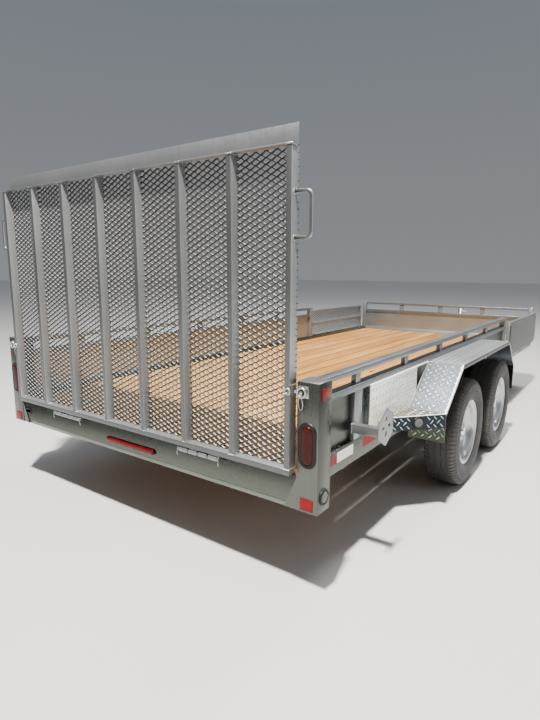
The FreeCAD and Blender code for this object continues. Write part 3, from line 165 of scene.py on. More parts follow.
# Deck
PLANKS = 14
PLANK_GAP = 0.004
PLANK_PITCH = (DECK_HIGH.x - DECK_LOW.x + PLANK_GAP) / PLANKS
PLANK_SAG = 0.0012
SCREW_ROWS = [rear(0.480 + 0.6 * index) for index in range(8)] + [rear(0.075), rear(4.97)]
SCREW_SHARES = (0.22, 0.78)
SCREW_SLIP_X = 0.004
SCREW_SLIP_Y = 0.006
SCREW_SINK = 0.0006

# Fenders
FENDER_TOP_Z = FENDER_HIGH.z
STEP_Z = STEPS_HIGH.z
FRONT_FOOT_Z = 0.603
PLATE_EDGE = 0.008
PANEL_PROUD = 0.003
PANEL_BACK = 0.0232
PANEL_PAST_STEP = 0.103
SLOPE_RISE = (FENDER_TOP_Z - STEP_Z) / (FENDER_LOW.y - STEPS_HIGH.y)
SLOPE_EDGE_PROUD = 0.0016
APRON_HEM = 0.03
STEP_EDGE_WIDTH = 0.006
STEP_EDGE_PROUD = 0.0014
STEP_LAMP_DROP = 0.039
STEP_LAMP_CLEAR = 0.046
# Thickness of the near-black patches of painted shade on the wall sheets
PATCH_THICKNESS = 0.0012
# Reach of the wall panel's rear fold and of its bright top edge past the panel's corners
FOLD_LOW = Vector((-0.0235, -0.0006, LAP))
FOLD_HIGH = Vector((0.0005, 0.0022, -LAP))
TOP_EDGE_LOW = Vector((-0.002, 0, -0.004))
TOP_EDGE_HIGH = Vector((0.0045, 0, 0.004))
# Raised bars: how far they keep off a plate's edges and how slim they get, as shares of their own size
BAR_MARGIN_SHARE = 0.34
BAR_WAIST_SHARE = 0.55
BAR_TOP_LENGTH_SHARE = 0.72
BAR_TOP_WIDTH_SHARE = 0.5
BAR_SINK = 0.0004
# Where the wall panel's foot leaves the slope
PANEL_CORNER = Vector((WALL_X, STEPS_HIGH.y + PANEL_PAST_STEP, STEP_Z + PANEL_PAST_STEP * SLOPE_RISE))
STEP_REAR = Vector((WALL_X, STEPS_LOW.y, 0))
STEP_FRONT = Vector((FENDER_HIGH.x, STEPS_HIGH.y, 0))
STEP_ALONG = (STEP_FRONT - STEP_REAR).normalized()
STEP_OUT = Vector((STEP_ALONG.y, -STEP_ALONG.x, 0))
STEP_LAMP = (STEP_REAR + STEP_FRONT) / 2 + Vector((0, 0, STEP_Z - STEP_LAMP_DROP))

# Spare-wheel carrier, its seams' ends and arm below the plate's middle
CARRIER_PLATE = 0.006
CARRIER_ARM_HALF = 0.02
CARRIER_ARM_DROP = 0.033
CARRIER_SEAM_DROPS = (0.052, 0.013)

# Welds, with the step and height of their ripples as shares of the bead's radius
RIPPLE_STEP = 0.8
RIPPLE_HEIGHT = 0.75
RIPPLE_ROLL = 0.3
RIB_WELD_LEAN = 0.6
RIB_SEAM = (0.004, 0.03)
RAIL_SEAM = 0.045
STIFFENER_SEAM = (0.002, 0.022)
HANDLE_WELD_RADIUS = 0.0085
HANDLE_BEAD = (0.004, 0.004, 0.003)

# Wheels
LUGS = 5
LUG_CIRCLE_RADIUS = 0.05715
CAP_SEAT_X = 0.042
VALVE_PLACE = Vector((0.060, -0.150, 0.045))
VALVE_WAY = (1, -0.35, 0.1)
TYRE_PITCHES = 40
TREAD_RADIUS = 344.0
GROOVE_RADIUS = 335.5
INNER_GROOVE_RADIUS = 336.0
SHOULDER_DROP = 4.5
GROOVE_WAVE = 1.5
# Each section of one pitch: share of the pitch, whether a shoulder lug stands there, way of the grooves' wave
TREAD_STEPS = ((0.0, True, 1), (0.34, True, -1), (0.36, False, -1), (0.48, False, -1), (0.50, True, -1),
               (0.84, True, 1), (0.86, False, 1), (0.98, False, 1))

# Bulkhead, lamps and tape
LIP_SHORT = 0.002
LIP_PROUD = 0.0016
LIP_HEIGHT = 0.020
THIN_ROUND = 0.0006
STOP_LAMP_WIDTH = 0.052
SIDE_LAMP = Vector((POSTS_HIGH.x, rear(0.05), 0.464))
LOW_REFLECTOR = ((POST_MIDDLE_X - 0.03, rear(-0.003), 0.409), (POST_MIDDLE_X + 0.03, rear(0.0005), 0.457))
HIGH_REFLECTOR = ((POSTS_HIGH.x - 0.0005, rear(0.02), 0.864), (POSTS_HIGH.x + 0.003, rear(0.08), 0.912))
TAPE_BELOW_TOP = 0.014
TAPE_BACK = 0.0002
TAPE_PROUD = 0.0005
# Finish of each strip of tape, with its start and end ahead of the posts' rear face
TAPES = (("red_tape", 0.104, 0.250), ("white_tape", 0.250, 0.404), ("red_tape", 0.507, 0.670),
         ("red_tape", 3.58, 3.73), ("white_tape", 3.73, 3.88), ("red_tape", 4.70, 4.85),
         ("white_tape", 4.85, 5.0))

# Outlines of turned pieces, each point (distance along the axis, radius)
SCREW_OUTLINE = ((-0.001, 0.0), (-0.001, 1.0), (0.0006, 0.9), (0.0008, 0.45), (0.0002, 0.0))
HUB_CAP_OUTLINE = ((-0.002, 0.0), (-0.002, 0.0325), (0.0035, 0.0325), (0.006, 0.0315), (0.0150, 0.0300),
                   (0.0178, 0.0275), (0.0186, 0.022), (0.0186, 0.0))
NUT_OUTLINE = ((-0.021, 0.0), (-0.021, 0.0125), (-0.0175, 0.0125), (-0.0165, 0.0098), (-0.003, 0.0098),
               (-0.0015, 0.0080), (-0.0015, 0.0))
STUD_OUTLINE = ((-0.002, 0.0), (-0.002, 0.0055), (0.0025, 0.0055), (0.0035, 0.0))
VALVE_OUTLINE = ((-0.012, 0.0), (-0.012, 0.0075), (0.002, 0.0062), (0.012, 0.0040), (0.013, 0.0048),
                 (0.024, 0.0048), (0.025, 0.0))
ROUND_GROMMET_OUTLINE = ((0.0, 0.0252), (0.0045, 0.0252), (0.0068, 0.0275), (0.0070, 0.0310),
                         (0.0052, 0.0345), (0.0, 0.0360))
ROUND_LENS_OUTLINE = ((0.0, 0.0), (0.0, 0.0250), (0.0045, 0.0250), (0.0068, 0.0225), (0.0080, 0.0150),
                      (0.0084, 0.0))
BEAD_OUTLINE = ((-0.2, 0.0), (-0.2, 0.98), (0.45, 0.82), (0.8, 0.42), (0.92, 0.0))
RIVET_OUTLINE = ((0.0, 0.0), (0.0, 0.005), (0.0022, 0.0042), (0.003, 0.0))
BARREL_OUTLINE = ((0.0, 0.0), (0.0, 0.0045), (0.0015, 0.0060), (0.022, 0.0060), (0.022, 0.0))
KNOB_OUTLINE = ((0.0, 0.0), (0.0, 0.0075), (0.004, 0.0075), (0.0055, 0.0050), (0.0058, 0.0))
WELL_OUTLINE = ((0.0, 0.0), (0.0, 0.0150), (0.004, 0.0150), (0.005, 0.0120), (0.005, 0.0))

# Lips of moulded pieces, each step (growth of the outline, distance out of the face)
LENS_STEPS = ((0.0, 0.0), (0.0, 0.0045), (-0.0015, 0.0068), (-0.005, 0.0082), (-0.010, 0.0088))
GROMMET_STEPS = ((0.0, 0.0), (0.0, 0.0045), (0.003, 0.0065), (0.008, 0.0070), (0.0125, 0.0058),
                 (0.0155, 0.0022), (0.016, 0.0))
ID_BAR_STEPS = ((0.0, 0.0), (0.0, 0.009), (-0.0025, 0.0125), (-0.008, 0.0145), (-0.0125, 0.0155))
WIRING_STEPS = ((0.0, 0.0), (0.0, 0.0030), (0.003, 0.0045), (0.008, 0.0045), (0.012, 0.0030), (0.0135, 0.0))
WIRING_PLACE = Vector((-0.985, BULKHEAD_FACE_Y, 0.478))
WIRING_WIDTH = 0.016
WIRING_LENGTH = 0.050

# Working values of the shapes
MIRROR = Matrix.Scale(-1, 4, (1, 0, 0))
JOIN_DISTANCE = 0.00002
TILE_JOIN = 0.00005

# Finish of each plain node of the frame that is rounded along its edges
ROUNDED = {
    "side_rails": "polished_sheet", "top_rails": "rail_aluminium", "mid_rails": "rail_aluminium",
    "rail_uprights": "mill_upright", "wall_posts": "mill_upright", "wall_stiffeners": "mill_upright",
    "rear_posts": "polished_post", "crossmembers": "mill_extrusion", "tongue_beams": "mill_extrusion",
    "fender_planks": "fender_planks", "spare_carrier": "mill_upright", "rear_bulkhead": "polished_sheet",
    "axle_beams": "axle_paint",
}
# Finish, body and slot of each plain node whose round faces are shaded round
SMOOTHED = {
    "coupler": ("zinc_plate", "frame", "zinc"), "jack_tube": ("zinc_plate", "frame", "zinc"),
    "axle_arms": ("axle_paint", "frame", "axle_steel"),
    "side_hinge_brackets": ("mill_upright", "frame", "aluminium"),
    "jack_leg": ("zinc_plate", "jack_slider", "zinc"),
    "gate_handles": ("gate_aluminium", "ramp_gate", "aluminium"),
}
# Finish of each plain node that stays
PAINTED = {
    "wall_sheets": "wall_sheet", "fender_plates": "tread_plate_sheet", "fender_steps": "tread_plate_step",
    "axle_brackets": "mill_upright", "gate_strikers": "gate_aluminium",
}

# Studio
FLOOR_REACH = 60.0
# Height of each stop of the sky, from the horizon to overhead, with its colour
SKY = ((0.0, (0.52, 0.54, 0.56, 1)), (0.42, (0.38, 0.42, 0.48, 1)), (0.62, (0.72, 0.78, 0.88, 1)),
       (1.0, (1.55, 1.60, 1.70, 1)))
SKY_STRENGTH = 0.5
Light = namedtuple("Light", "name place aim size power tint")
LIGHTS = (
    Light("key", (1.7, rear(-3.0), 9.9), (0.0, rear(1.0), 0.5), 0.5, 5600.0, (1.0, 0.97, 0.92)),
    Light("front", (1.5, 3.2, 8.0), (0.2, 1.2, 0.5), 2.4, 800.0, (1.0, 0.98, 0.95)),
    Light("side", (7.5, -1.0, 3.2), (1.0, -0.5, 0.6), 3.0, 70.0, (1.0, 0.98, 0.95)),
)
CAMERA_PLACE = (2.08276, rear(-1.63207), 1.3598)
CAMERA_YAW = 35.788
CAMERA_PITCH = 9.9863
CAMERA_ROLL = 0.2304
CAMERA_SENSOR = 36.0
PHOTO_HEIGHT = 720.0
FOCAL_LENGTH_PIXELS = 508.586
CAMERA_LENS = CAMERA_SENSOR * FOCAL_LENGTH_PIXELS / PHOTO_HEIGHT


# Sizes and colours
def size(name, description, default, low=0.0, high=5.0):
    return bpy.props.FloatProperty(name=name, description=description, default=default, min=low, max=high,
                                   subtype="DISTANCE", unit="LENGTH", precision=4)


def colour(name, description, default):
    return bpy.props.FloatVectorProperty(name=name, description=description, default=default, size=3,
                                         min=0.0, max=1.0, subtype="COLOR")


class TrailerSizes(bpy.types.PropertyGroup):
    """Sizes of the detailed pieces."""
    edge_radius: size("Edge radius", "Rounding along the edges of extruded tubes and plates", 0.0016)
    diamond_length: size("Diamond length", "Long way of one opening of the expanded metal", 0.0508)
    diamond_height: size("Diamond height", "Short way of one opening of the expanded metal", 0.0254)
    strand_height: size("Strand height", "Height of the faces of the expanded metal's strands", 0.0056)
    strand_depth: size("Strand depth", "Depth of the expanded metal's strands", 0.0072)
    strand_rise: size("Strand rise", "How far a strand's upper face climbs towards its front edge", 0.0008)
    strand_lean: size("Strand lean", "How far a strand's top edge leans to the rear", 0.0006)
    plank_round: size("Plank rounding", "Rounding of the deck planks' edges", 0.003)
    screw_head: size("Screw head", "Radius of the deck screws' heads", 0.0055)
    tread_pitch: size("Tread pitch", "Distance between bars of one row of the tread plate", 0.040)
    tread_rows: size("Tread rows", "Distance between rows of the tread plate's bars", 0.022)
    bar_length: size("Bar length", "Length of one raised bar of the tread plate", 0.031)
    bar_width: size("Bar width", "Width of one raised bar of the tread plate", 0.0050)
    bar_height: size("Bar height", "Height of one raised bar of the tread plate", 0.0015)
    weld_bead: size("Weld bead", "Radius of one ripple of a weld", 0.0042)
    wire: size("Wire", "Radius of the pins' wires and pull rings", 0.0017)
    fender_groove: size("Fender groove", "Distance between the grooves along the fenders", 0.0265)
    tape_height: size("Tape height", "Height of the reflecting tape on the side rails", 0.046)


class TrailerColours(bpy.types.PropertyGroup):
    """Colours of the finishes."""
    extrusion: colour("Extrusion", "Mill-finished tubes and channels", (0.38, 0.39, 0.40))
    # Painted reflection: the polished tint is dark and olive, standing in for the dark surroundings that
    # polished metal reflects
    polished: colour("Polished", "Polished posts, bulkhead and wall sheets", (0.104, 0.111, 0.097))
    rail: colour("Rail", "Top and middle rails", (0.19, 0.205, 0.215))
    inside: colour("Wall, inside", "Inner faces of the wall sheets", (0.36, 0.38, 0.37))
    # Near-white tint of the thin strips laid along the tread plates' edges, as their bright edge lines
    edge: colour("Edge", "Plate edges worn bright", (0.92, 0.92, 0.90))
    gate: colour("Gate", "Ribs and rails of the gates", (0.25, 0.258, 0.260))
    grille: colour("Grille", "Expanded metal", (0.31, 0.32, 0.315))
    shaded: colour("Step flange", "Upright flange of the steps", (0.018, 0.025, 0.029))
    # Painted reflection: the tan-brown tint of the step tops stands for what their bright plate reflects
    step: colour("Step", "Tops of the steps", (0.30, 0.255, 0.205))
    # Painted light: the creamy tint stands for sunlight glaring off the wall tread plate
    panel: colour("Wall tread plate", "Tread plate on the side walls", (1.0, 0.93, 0.74))
    # Painted shade on the tread plate that hangs below the slopes
    apron: colour("Apron", "Tread plate that hangs below the slopes", (0.045, 0.053, 0.036))
    tread: colour("Tread plate", "Tread plate on the slopes", (0.37, 0.41, 0.45))
    plank_light: colour("Plank, light", "Early wood of the deck", (0.39, 0.194, 0.042))
    plank_dark: colour("Plank, dark", "Late wood and knots of the deck", (0.13, 0.046, 0.010))
    plank_bleached: colour("Plank, bleached", "Streaks bleached by the sun", (0.55, 0.32, 0.11))
    rubber: colour("Rubber", "Tyres and grommets", (0.009, 0.009, 0.010))
    tyre_bloom: colour("Tyre bloom", "Dusty bloom on the tyres", (0.023, 0.023, 0.023))
    # Partly dust, partly a painted highlight on the sidewalls' rings
    tyre_ring_dust_and_highlight: colour("Tyre rings", "Dust on the rings of the sidewalls", (0.066, 0.067, 0.066))
    road_dirt: colour("Road dirt", "Dirt on the shoulders of the tyres", (0.092, 0.082, 0.070))
    wheel: colour("Wheel", "Painted wheels", (0.43, 0.44, 0.45))
    flake: colour("Flake", "Metal flakes in the wheels' paint", (1.0, 1.0, 1.0))
    chrome_dark: colour("Chrome, hazy", "Hazy patches of the bright hub caps", (0.72, 0.73, 0.74))
    chrome_light: colour("Chrome, clear", "Clear patches of the bright hub caps", (0.86, 0.87, 0.88))
    lamp: colour("Lamp", "Red lamp lenses", (0.032, 0.0008, 0.001))
    marker: colour("Marker", "Smoked lenses of the round lamps", (0.085, 0.082, 0.078))
    reflector: colour("Reflector", "Red reflectors and tape", (0.14, 0.001, 0.003))
    tape: colour("Tape", "White reflecting tape", (0.78, 0.78, 0.74))
    axle: colour("Axle", "Painted axles", (0.018, 0.018, 0.02))
    axle_dirt: colour("Axle dirt", "Dried dirt on the axles", (0.09, 0.075, 0.055))
    zinc: colour("Zinc", "Plated coupler, jack, latches and screws", (0.42, 0.42, 0.40))
    floor: colour("Floor", "Studio floor", (0.42, 0.42, 0.41))


def sizes():
    return bpy.context.scene.trailer_sizes


def colours():
    return bpy.context.scene.trailer_colours


def scaled(tint, factor):
    return tuple(min(1.0, channel * factor) for channel in tint)


# Finishes
X, Y, Z = range(3)
EDGE_BLUR = 0.0003
MIX_FIRST, MIX_SECOND, MIX_RESULT = 6, 7, 2


class Finish:
    """One material, built node by node on a piece's own coordinates."""

    def __init__(self, name, metallic=0.0, roughness=0.5, **constants):
        self.material = bpy.data.materials.new(name)
        self.material.use_nodes = True
        self.tree = self.material.node_tree
        self.tree.nodes.clear()
        self.shader = self.node("ShaderNodeBsdfPrincipled")
        out = self.node("ShaderNodeOutputMaterial")
        self.link(self.shader.outputs["BSDF"], out.inputs["Surface"])
        self.feed(self.shader, Metallic=metallic, Roughness=roughness, **constants)
        self.place = self.node("ShaderNodeTexCoord").outputs["Object"]
        self.height = None

    def node(self, kind, **settings):
        made = self.tree.nodes.new(kind)
        for key, value in settings.items():
            setattr(made, key, value)
        return made

    def link(self, source, target):
        self.tree.links.new(source, target)

    def put(self, value, socket):
        """Link a socket, or set a constant."""
        if isinstance(value, bpy.types.NodeSocket):
            self.link(value, socket)
        else:
            socket.default_value = value

    def feed(self, node, **inputs):
        for key, value in inputs.items():
            self.put(value, node.inputs[key.replace("_", " ")])
        return node

    def math(self, kind, *values):
        made = self.node("ShaderNodeMath", operation=kind)
        for value, socket in zip(values, made.inputs):
            self.put(value, socket)
        return made.outputs[0]

    def plus(self, first, second):
        return self.math("ADD", first, second)

    def times(self, first, second):
        return self.math("MULTIPLY", first, second)

    def stretched(self, scale):
        """The piece's coordinates, scaled on each axis."""
        return self.feed(self.node("ShaderNodeMapping"), Vector=self.place, Scale=scale).outputs["Vector"]

    def noise(self, scale, detail=3.0, rough=0.55):
        """Cloudy noise; scale is one number or one for each axis."""
        scale = scale if isinstance(scale, tuple) else (scale, scale, scale)
        made = self.node("ShaderNodeTexNoise")
        self.feed(made, Vector=self.stretched(scale), Scale=1.0, Detail=detail, Roughness=rough)
        return made.outputs["Fac"]

    def cells(self, scale, randomness, **settings):
        """Distance inside each cell of a Voronoi pattern."""
        made = self.node("ShaderNodeTexVoronoi", **settings)
        self.feed(made, Vector=self.stretched(scale), Scale=1.0, Randomness=randomness)
        return made.outputs["Distance"]

    def attribute(self, name):
        return self.node("ShaderNodeAttribute", attribute_name=name).outputs["Fac"]

    def spread(self, source, low=0.0, high=1.0, start=0.3, end=0.7):
        """Maps start..end of a value to low..high."""
        made = self.node("ShaderNodeMapRange")
        self.feed(made, Value=source, From_Min=start, From_Max=end, To_Min=low, To_Max=high)
        return made.outputs["Result"]

    def mix(self, factor, first, second):
        """Blend of two colours."""
        made = self.node("ShaderNodeMix", data_type="RGBA")
        self.link(factor, made.inputs["Factor"])
        for index, value in ((MIX_FIRST, first), (MIX_SECOND, second)):
            self.put(value if isinstance(value, bpy.types.NodeSocket) else (*value, 1.0), made.inputs[index])
        return made.outputs[MIX_RESULT]

    def axis(self, index):
        return self.feed(self.node("ShaderNodeSeparateXYZ"), Vector=self.place).outputs[index]

    def past(self, index, edge, above=True):
        """1 where the distance from the middle on one axis is past an edge, or short of it."""
        low, high = (0.0, 1.0) if above else (1.0, 0.0)
        away = self.math("ABSOLUTE", self.axis(index))
        return self.spread(away, low, high, edge - EDGE_BLUR, edge + EDGE_BLUR)

    def facing(self, index):
        """1 on faces that look along an axis, either way, in the piece's own directions; these faces take
        painted shade.
        """
        normal = self.node("ShaderNodeTexCoord").outputs["Normal"]
        along = self.feed(self.node("ShaderNodeSeparateXYZ"), Vector=normal).outputs[index]
        return self.spread(self.math("ABSOLUTE", along), 0.0, 1.0, 0.35, 0.60)

    def colour(self, source):
        self.link(source, self.shader.inputs["Base Color"])

    def roughness(self, source):
        self.link(source, self.shader.inputs["Roughness"])

    def bump(self, height, depth, strength=1.0):
        made = self.feed(self.node("ShaderNodeBump"), Height=height, Distance=depth, Strength=strength)
        if self.height is not None:
            self.link(self.height, made.inputs["Normal"])
        self.height = made.outputs["Normal"]
        self.link(self.height, self.shader.inputs["Normal"])


# Tint is a colour's name and share scales it. Grain is the scale of the rolling lines on each axis, patch how
# cloudy the tint is, scratch the lines' depth and bare the metallic share. Zones have a tint of their own. So
# have the faces that look along the axis of side, which is (axis, tint, share); that darker tint is painted
# shade.
Metal = namedtuple("Metal", "tint share rough grain patch scratch bare zones side", defaults=((), None))
# Part of a piece past an edge, or short of it, on one axis
Zone = namedtuple("Zone", "axis edge above tint share", defaults=(1.0,))
METALS = {
    "mill_extrusion": Metal("extrusion", 1.0, 0.36, (160.0, 2.0, 160.0), 0.08, 0.00012, 0.8),
    "mill_upright": Metal("extrusion", 0.66, 0.36, (150.0, 150.0, 2.0), 0.08, 0.00012, 0.8),
    "rail_aluminium": Metal("rail", 1.0, 0.36, (160.0, 2.0, 160.0), 0.08, 0.00003, 0.85),
    # Painted shade: faces that look along Y, the ribs' rear and front faces, take a darker copy of the gate
    # tint
    "gate_aluminium": Metal("gate", 1.35, 0.35, (120.0, 120.0, 2.5), 0.08, 0.00004, 0.75,
                            (Zone(Z, GRILLE_HIGH.z - 0.002, True, "gate", 0.92),), (Y, "gate", 0.40)),
    "bright_edge": Metal("edge", 1.0, 0.45, (90.0, 90.0, 90.0), 0.05, 0.00005, 0.25),
    # Near-black sheet for the patches of painted shade on the walls
    "dark_sheet": Metal("shaded", 1.0, 0.40, (2.0, 2.0, 120.0), 0.10, 0.00008, 0.9),
    # Polished sheets carry the dark polished tint, a painted reflection
    "polished_sheet": Metal("polished", 1.0, 0.28, (2.0, 2.0, 140.0), 0.08, 0.00002, 1.0),
    # Painted shade: faces that look along X, the posts' sides, take a darker copy of the polished tint
    "polished_post": Metal("polished", 0.9, 0.28, (120.0, 120.0, 1.5), 0.12, 0.00005, 0.92,
                           (Zone(Z, POSTS_HIGH.z - 0.003, True, "extrusion"),), (X, "polished", 0.55)),
    # Painted reflection: outer faces take the polished tint at 0.8 share; inner faces, short of the sheet's
    # middle, take the lighter inside tint
    "wall_sheet": Metal("polished", 0.8, 0.36, (2.0, 2.0, 120.0), 0.08, 0.00008, 0.94,
                        (Zone(X, SHEET_MIDDLE_X, False, "inside"),)),
    "bulkhead_lip": Metal("polished", 1.5, 0.30, (2.0, 140.0, 140.0), 0.12, 0.00003, 1.0),
    "tread_plate_sheet": Metal("tread", 1.0, 0.24, (90.0, 6.0, 90.0), 0.08, 0.0001, 0.9,
                               # The wall panel, short of the wall's face, takes the creamy painted light
                               (Zone(X, WALL_X + 0.0045, False, "panel"),
                                # Below the step's top the plate takes painted shade
                                Zone(Z, STEP_Z - 0.004, False, "apron"))),
    # The step's top takes the tan-brown tint of painted reflection
    "tread_plate_step": Metal("step", 1.0, 0.26, (90.0, 90.0, 6.0), 0.10, 0.0001, 0.9,
                              (Zone(Z, STEP_Z - 0.0025, False, "shaded"),)),
    "tread_plate_bars": Metal("tread", 1.6, 0.26, (60.0, 60.0, 60.0), 0.06, 0.00006, 1.0),
    "zinc_plate": Metal("zinc", 1.0, 0.33, (45.0, 45.0, 45.0), 0.16, 0.0001, 1.0),
    "weld_bead": Metal("gate", 1.08, 0.30, (300.0, 300.0, 300.0), 0.15, 0.0001, 1.0),
}


def metal_finish(name, data):
    """Bare metal: rolling lines along one axis, cloudy patches and smudges."""
    look = Finish(name, metallic=data.bare, roughness=data.rough)
    lines = look.noise(data.grain, 4.0, 0.6)
    cloud = look.noise(2.2, 2.0, 0.5)
    smudge = look.noise(38.0, 5.0, 0.65)
    tone = look.spread(look.plus(look.times(lines, 0.5), look.times(cloud, 0.5)), 0.0, 1.0, 0.36, 0.64)

    def cloudy(tint, share):
        own = scaled(getattr(colours(), tint), share)
        return look.mix(tone, scaled(own, 1.0 - data.patch), scaled(own, 1.0 + data.patch))

    base = cloudy(data.tint, data.share)
    # The faces along the side's axis take a darker tint, painted shade
    if data.side:
        axis, tint, share = data.side
        base = look.mix(look.facing(axis), base, cloudy(tint, share))
    for zone in data.zones:
        base = look.mix(look.past(zone.axis, zone.edge, zone.above), base, cloudy(zone.tint, zone.share))
    look.colour(base)
    worn = look.times(look.plus(cloud, smudge), 0.5)
    look.roughness(look.spread(worn, data.rough * 0.85, data.rough * 1.2, 0.38, 0.62))
    look.bump(lines, data.scratch, 0.5)
    return look


def finish_fender():
    """Extruded planks with dark grooves along them."""
    look = metal_finish("fender_planks", METALS["mill_extrusion"])
    outward = look.plus(look.math("ABSOLUTE", look.axis(X)), -WALL_X)
    across = look.math("FRACT", look.times(outward, 1.0 / sizes().fender_groove))
    line = look.spread(across, 0.0, 1.0, 0.84, 0.9)
    base = look.shader.inputs["Base Color"].links[0].from_socket
    look.colour(look.mix(line, base, scaled(colours().extrusion, 0.22)))
    look.bump(line, -0.001, 0.6)
    return look


def finish_grille():
    """Expanded metal: painted light where a strand's face looks up, painted shade on its other faces."""
    look = Finish("expanded_metal", metallic=0.5, roughness=0.42)
    speck = look.noise(70.0, 3.0, 0.6)
    tint = colours().grille
    bright = look.mix(look.spread(speck), scaled(tint, 0.88), scaled(tint, 1.1))
    painted_shade_tint = look.mix(look.spread(speck), scaled(tint, 0.06), scaled(tint, 0.11))
    # The 'dark' face attribute blends from painted light on up-looking faces to painted shade
    look.colour(look.mix(look.attribute("dark"), bright, painted_shade_tint))
    look.roughness(look.spread(speck, 0.36, 0.5))
    look.bump(speck, 0.0001, 0.4)
    return look


def finish_wheel():
    """Silver paint under a clear coat, with brake dust in patches."""
    look = Finish("wheel_silver", metallic=0.75, roughness=0.30, Coat_Weight=0.35, Coat_Roughness=0.12)
    flake = look.noise(900.0, 2.0, 0.5)
    dust = look.noise(14.0, 4.0, 0.65)
    tint = colours().wheel
    worn = look.mix(look.spread(dust, 0.0, 0.8), scaled(tint, 1.05), scaled(tint, 0.8))
    look.colour(look.mix(look.spread(flake, 0.0, 0.25), worn, colours().flake))
    look.roughness(look.spread(dust, 0.22, 0.42))
    look.bump(flake, 0.00005, 0.3)
    return look


def finish_chrome():
    """Bright plating with a faint haze."""
    look = Finish("bright_cap", metallic=1.0, roughness=0.08)
    haze = look.noise(30.0, 4.0, 0.6)
    look.colour(look.mix(look.spread(haze), colours().chrome_dark, colours().chrome_light))
    look.roughness(look.spread(haze, 0.05, 0.16))
    return look


def finish_axle():
    """Black paint with dried dirt."""
    look = Finish("axle_paint", roughness=0.42)
    dirt = look.noise(12.0, 5.0, 0.65)
    look.colour(look.mix(look.spread(dirt, 0.0, 0.7, 0.45, 0.75), colours().axle, colours().axle_dirt))
    look.roughness(look.spread(dirt, 0.34, 0.7))
    look.bump(look.noise(260.0), 0.00015, 0.5)
    return look


def finish_rubber():
    """Tyre rubber: a dusty bloom, dust and painted highlights on the sidewalls' rings, and dirt on the
    shoulders.
    """
    look = Finish("tyre_rubber", roughness=0.72)
    cloud = look.noise(7.0, 4.0, 0.6)
    grit = look.noise(180.0, 4.0, 0.7)
    ring_spacing = 0.0195
    reach = look.attribute("reach")
    dusty = look.mix(look.spread(cloud, 0.0, 0.3, 0.4, 0.75), colours().rubber, colours().tyre_bloom)
    # Light rings on the sidewalls: partly dust, partly painted highlight
    wave = look.math("SINE", look.times(reach, 2 * math.pi / ring_spacing))
    wall = look.spread(reach, 1.0, 0.0, 0.300, 0.312)
    ringed = look.mix(look.times(look.spread(wave, 0.0, 0.55, 0.25, 0.9), wall), dusty, colours().tyre_ring_dust_and_highlight)
    outer = look.spread(reach, 0.0, 1.0, 0.314, 0.332)
    shoulder = look.times(outer, look.spread(reach, 1.0, 0.35, 0.340, 0.343))
    worn = look.times(shoulder, look.spread(grit, 0.15, 0.8))
    look.colour(look.mix(worn, ringed, colours().road_dirt))
    look.roughness(look.spread(cloud, 0.5, 0.75))
    look.bump(grit, 0.0003, 0.5)
    return look


def finish_grommet():
    """Smooth black rubber."""
    look = Finish("black_rubber", roughness=0.42, IOR=1.3)
    fine = look.noise(140.0)
    look.colour(look.mix(look.spread(fine), scaled(colours().rubber, 0.4), scaled(colours().rubber, 0.9)))
    look.bump(fine, 0.0001, 0.4)
    return look


def finish_wood():
    """Pine planks: long grain, dark late wood, knots, dark edges and a tone of its own for each plank."""
    look = Finish("pine_plank", roughness=0.74, IOR=1.3)
    light, dark_wood = colours().plank_light, colours().plank_dark
    width = look.axis(X)
    tone = look.attribute("tone")
    shift = look.feed(look.node("ShaderNodeCombineXYZ"), X=look.times(tone, 7.0), Y=look.times(tone, 19.0))
    moved = look.node("ShaderNodeVectorMath", operation="ADD")
    look.link(look.place, moved.inputs[0])
    look.link(shift.outputs["Vector"], moved.inputs[1])
    look.place = moved.outputs["Vector"]
    sway = look.noise((3.0, 0.8, 3.0), 3.0, 0.5)
    rings = look.node("ShaderNodeTexWave", bands_direction="X", wave_profile="SAW")
    look.feed(rings, Vector=look.stretched((13.0, 0.55, 13.0)), Scale=1.0, Distortion=7.0, Detail=3.0,
              Detail_Scale=0.6, Detail_Roughness=0.55)
    grain = look.noise((260.0, 5.0, 260.0), 5.0, 0.65)
    streak = look.noise((55.0, 1.1, 55.0), 4.0, 0.6)
    late = look.spread(rings.outputs["Fac"], 0.0, 1.0, 0.55, 0.98)
    dark = look.plus(look.times(late, 0.42), look.spread(streak, 0.0, 0.8, 0.40, 0.66))
    knot = look.spread(look.cells((4.6, 1.25, 4.6), 1.0, feature="F1"), 1.0, 0.0, 0.035, 0.085)
    early = look.mix(look.spread(tone, 0.0, 1.0, 0.0, 1.0), scaled(light, 0.90), scaled(light, 1.16))
    base = look.mix(dark, early, dark_wood)
    fine = look.mix(look.spread(grain, 0.0, 0.60, 0.45, 0.70), base, scaled(dark_wood, 1.3))
    bleached = look.mix(look.spread(sway, 0.0, 0.28, 0.4, 0.7), fine, colours().plank_bleached)
    across = look.math("FRACT", look.times(look.plus(width, -DECK_LOW.x), 1.0 / PLANK_PITCH))
    from_middle = look.math("ABSOLUTE", look.plus(across, -0.5))
    rim = look.times(look.spread(from_middle, 0.0, 1.0, 0.42, 0.47), look.spread(streak, 1.0, 0.6))
    edged = look.mix(rim, bleached, scaled(dark_wood, 0.8))
    look.colour(look.mix(knot, edged, scaled(dark_wood, 0.45)))
    look.roughness(look.spread(grain, 0.66, 0.84))
    look.bump(grain, 0.0006, 0.45)
    look.bump(late, 0.0005, 0.35)
    return look


def finish_floor():
    """Matt studio floor."""
    look = Finish("studio_floor", roughness=0.85)
    tint = colours().floor
    look.colour(look.mix(look.spread(look.noise(0.5)), scaled(tint, 0.98), scaled(tint, 1.02)))
    return look


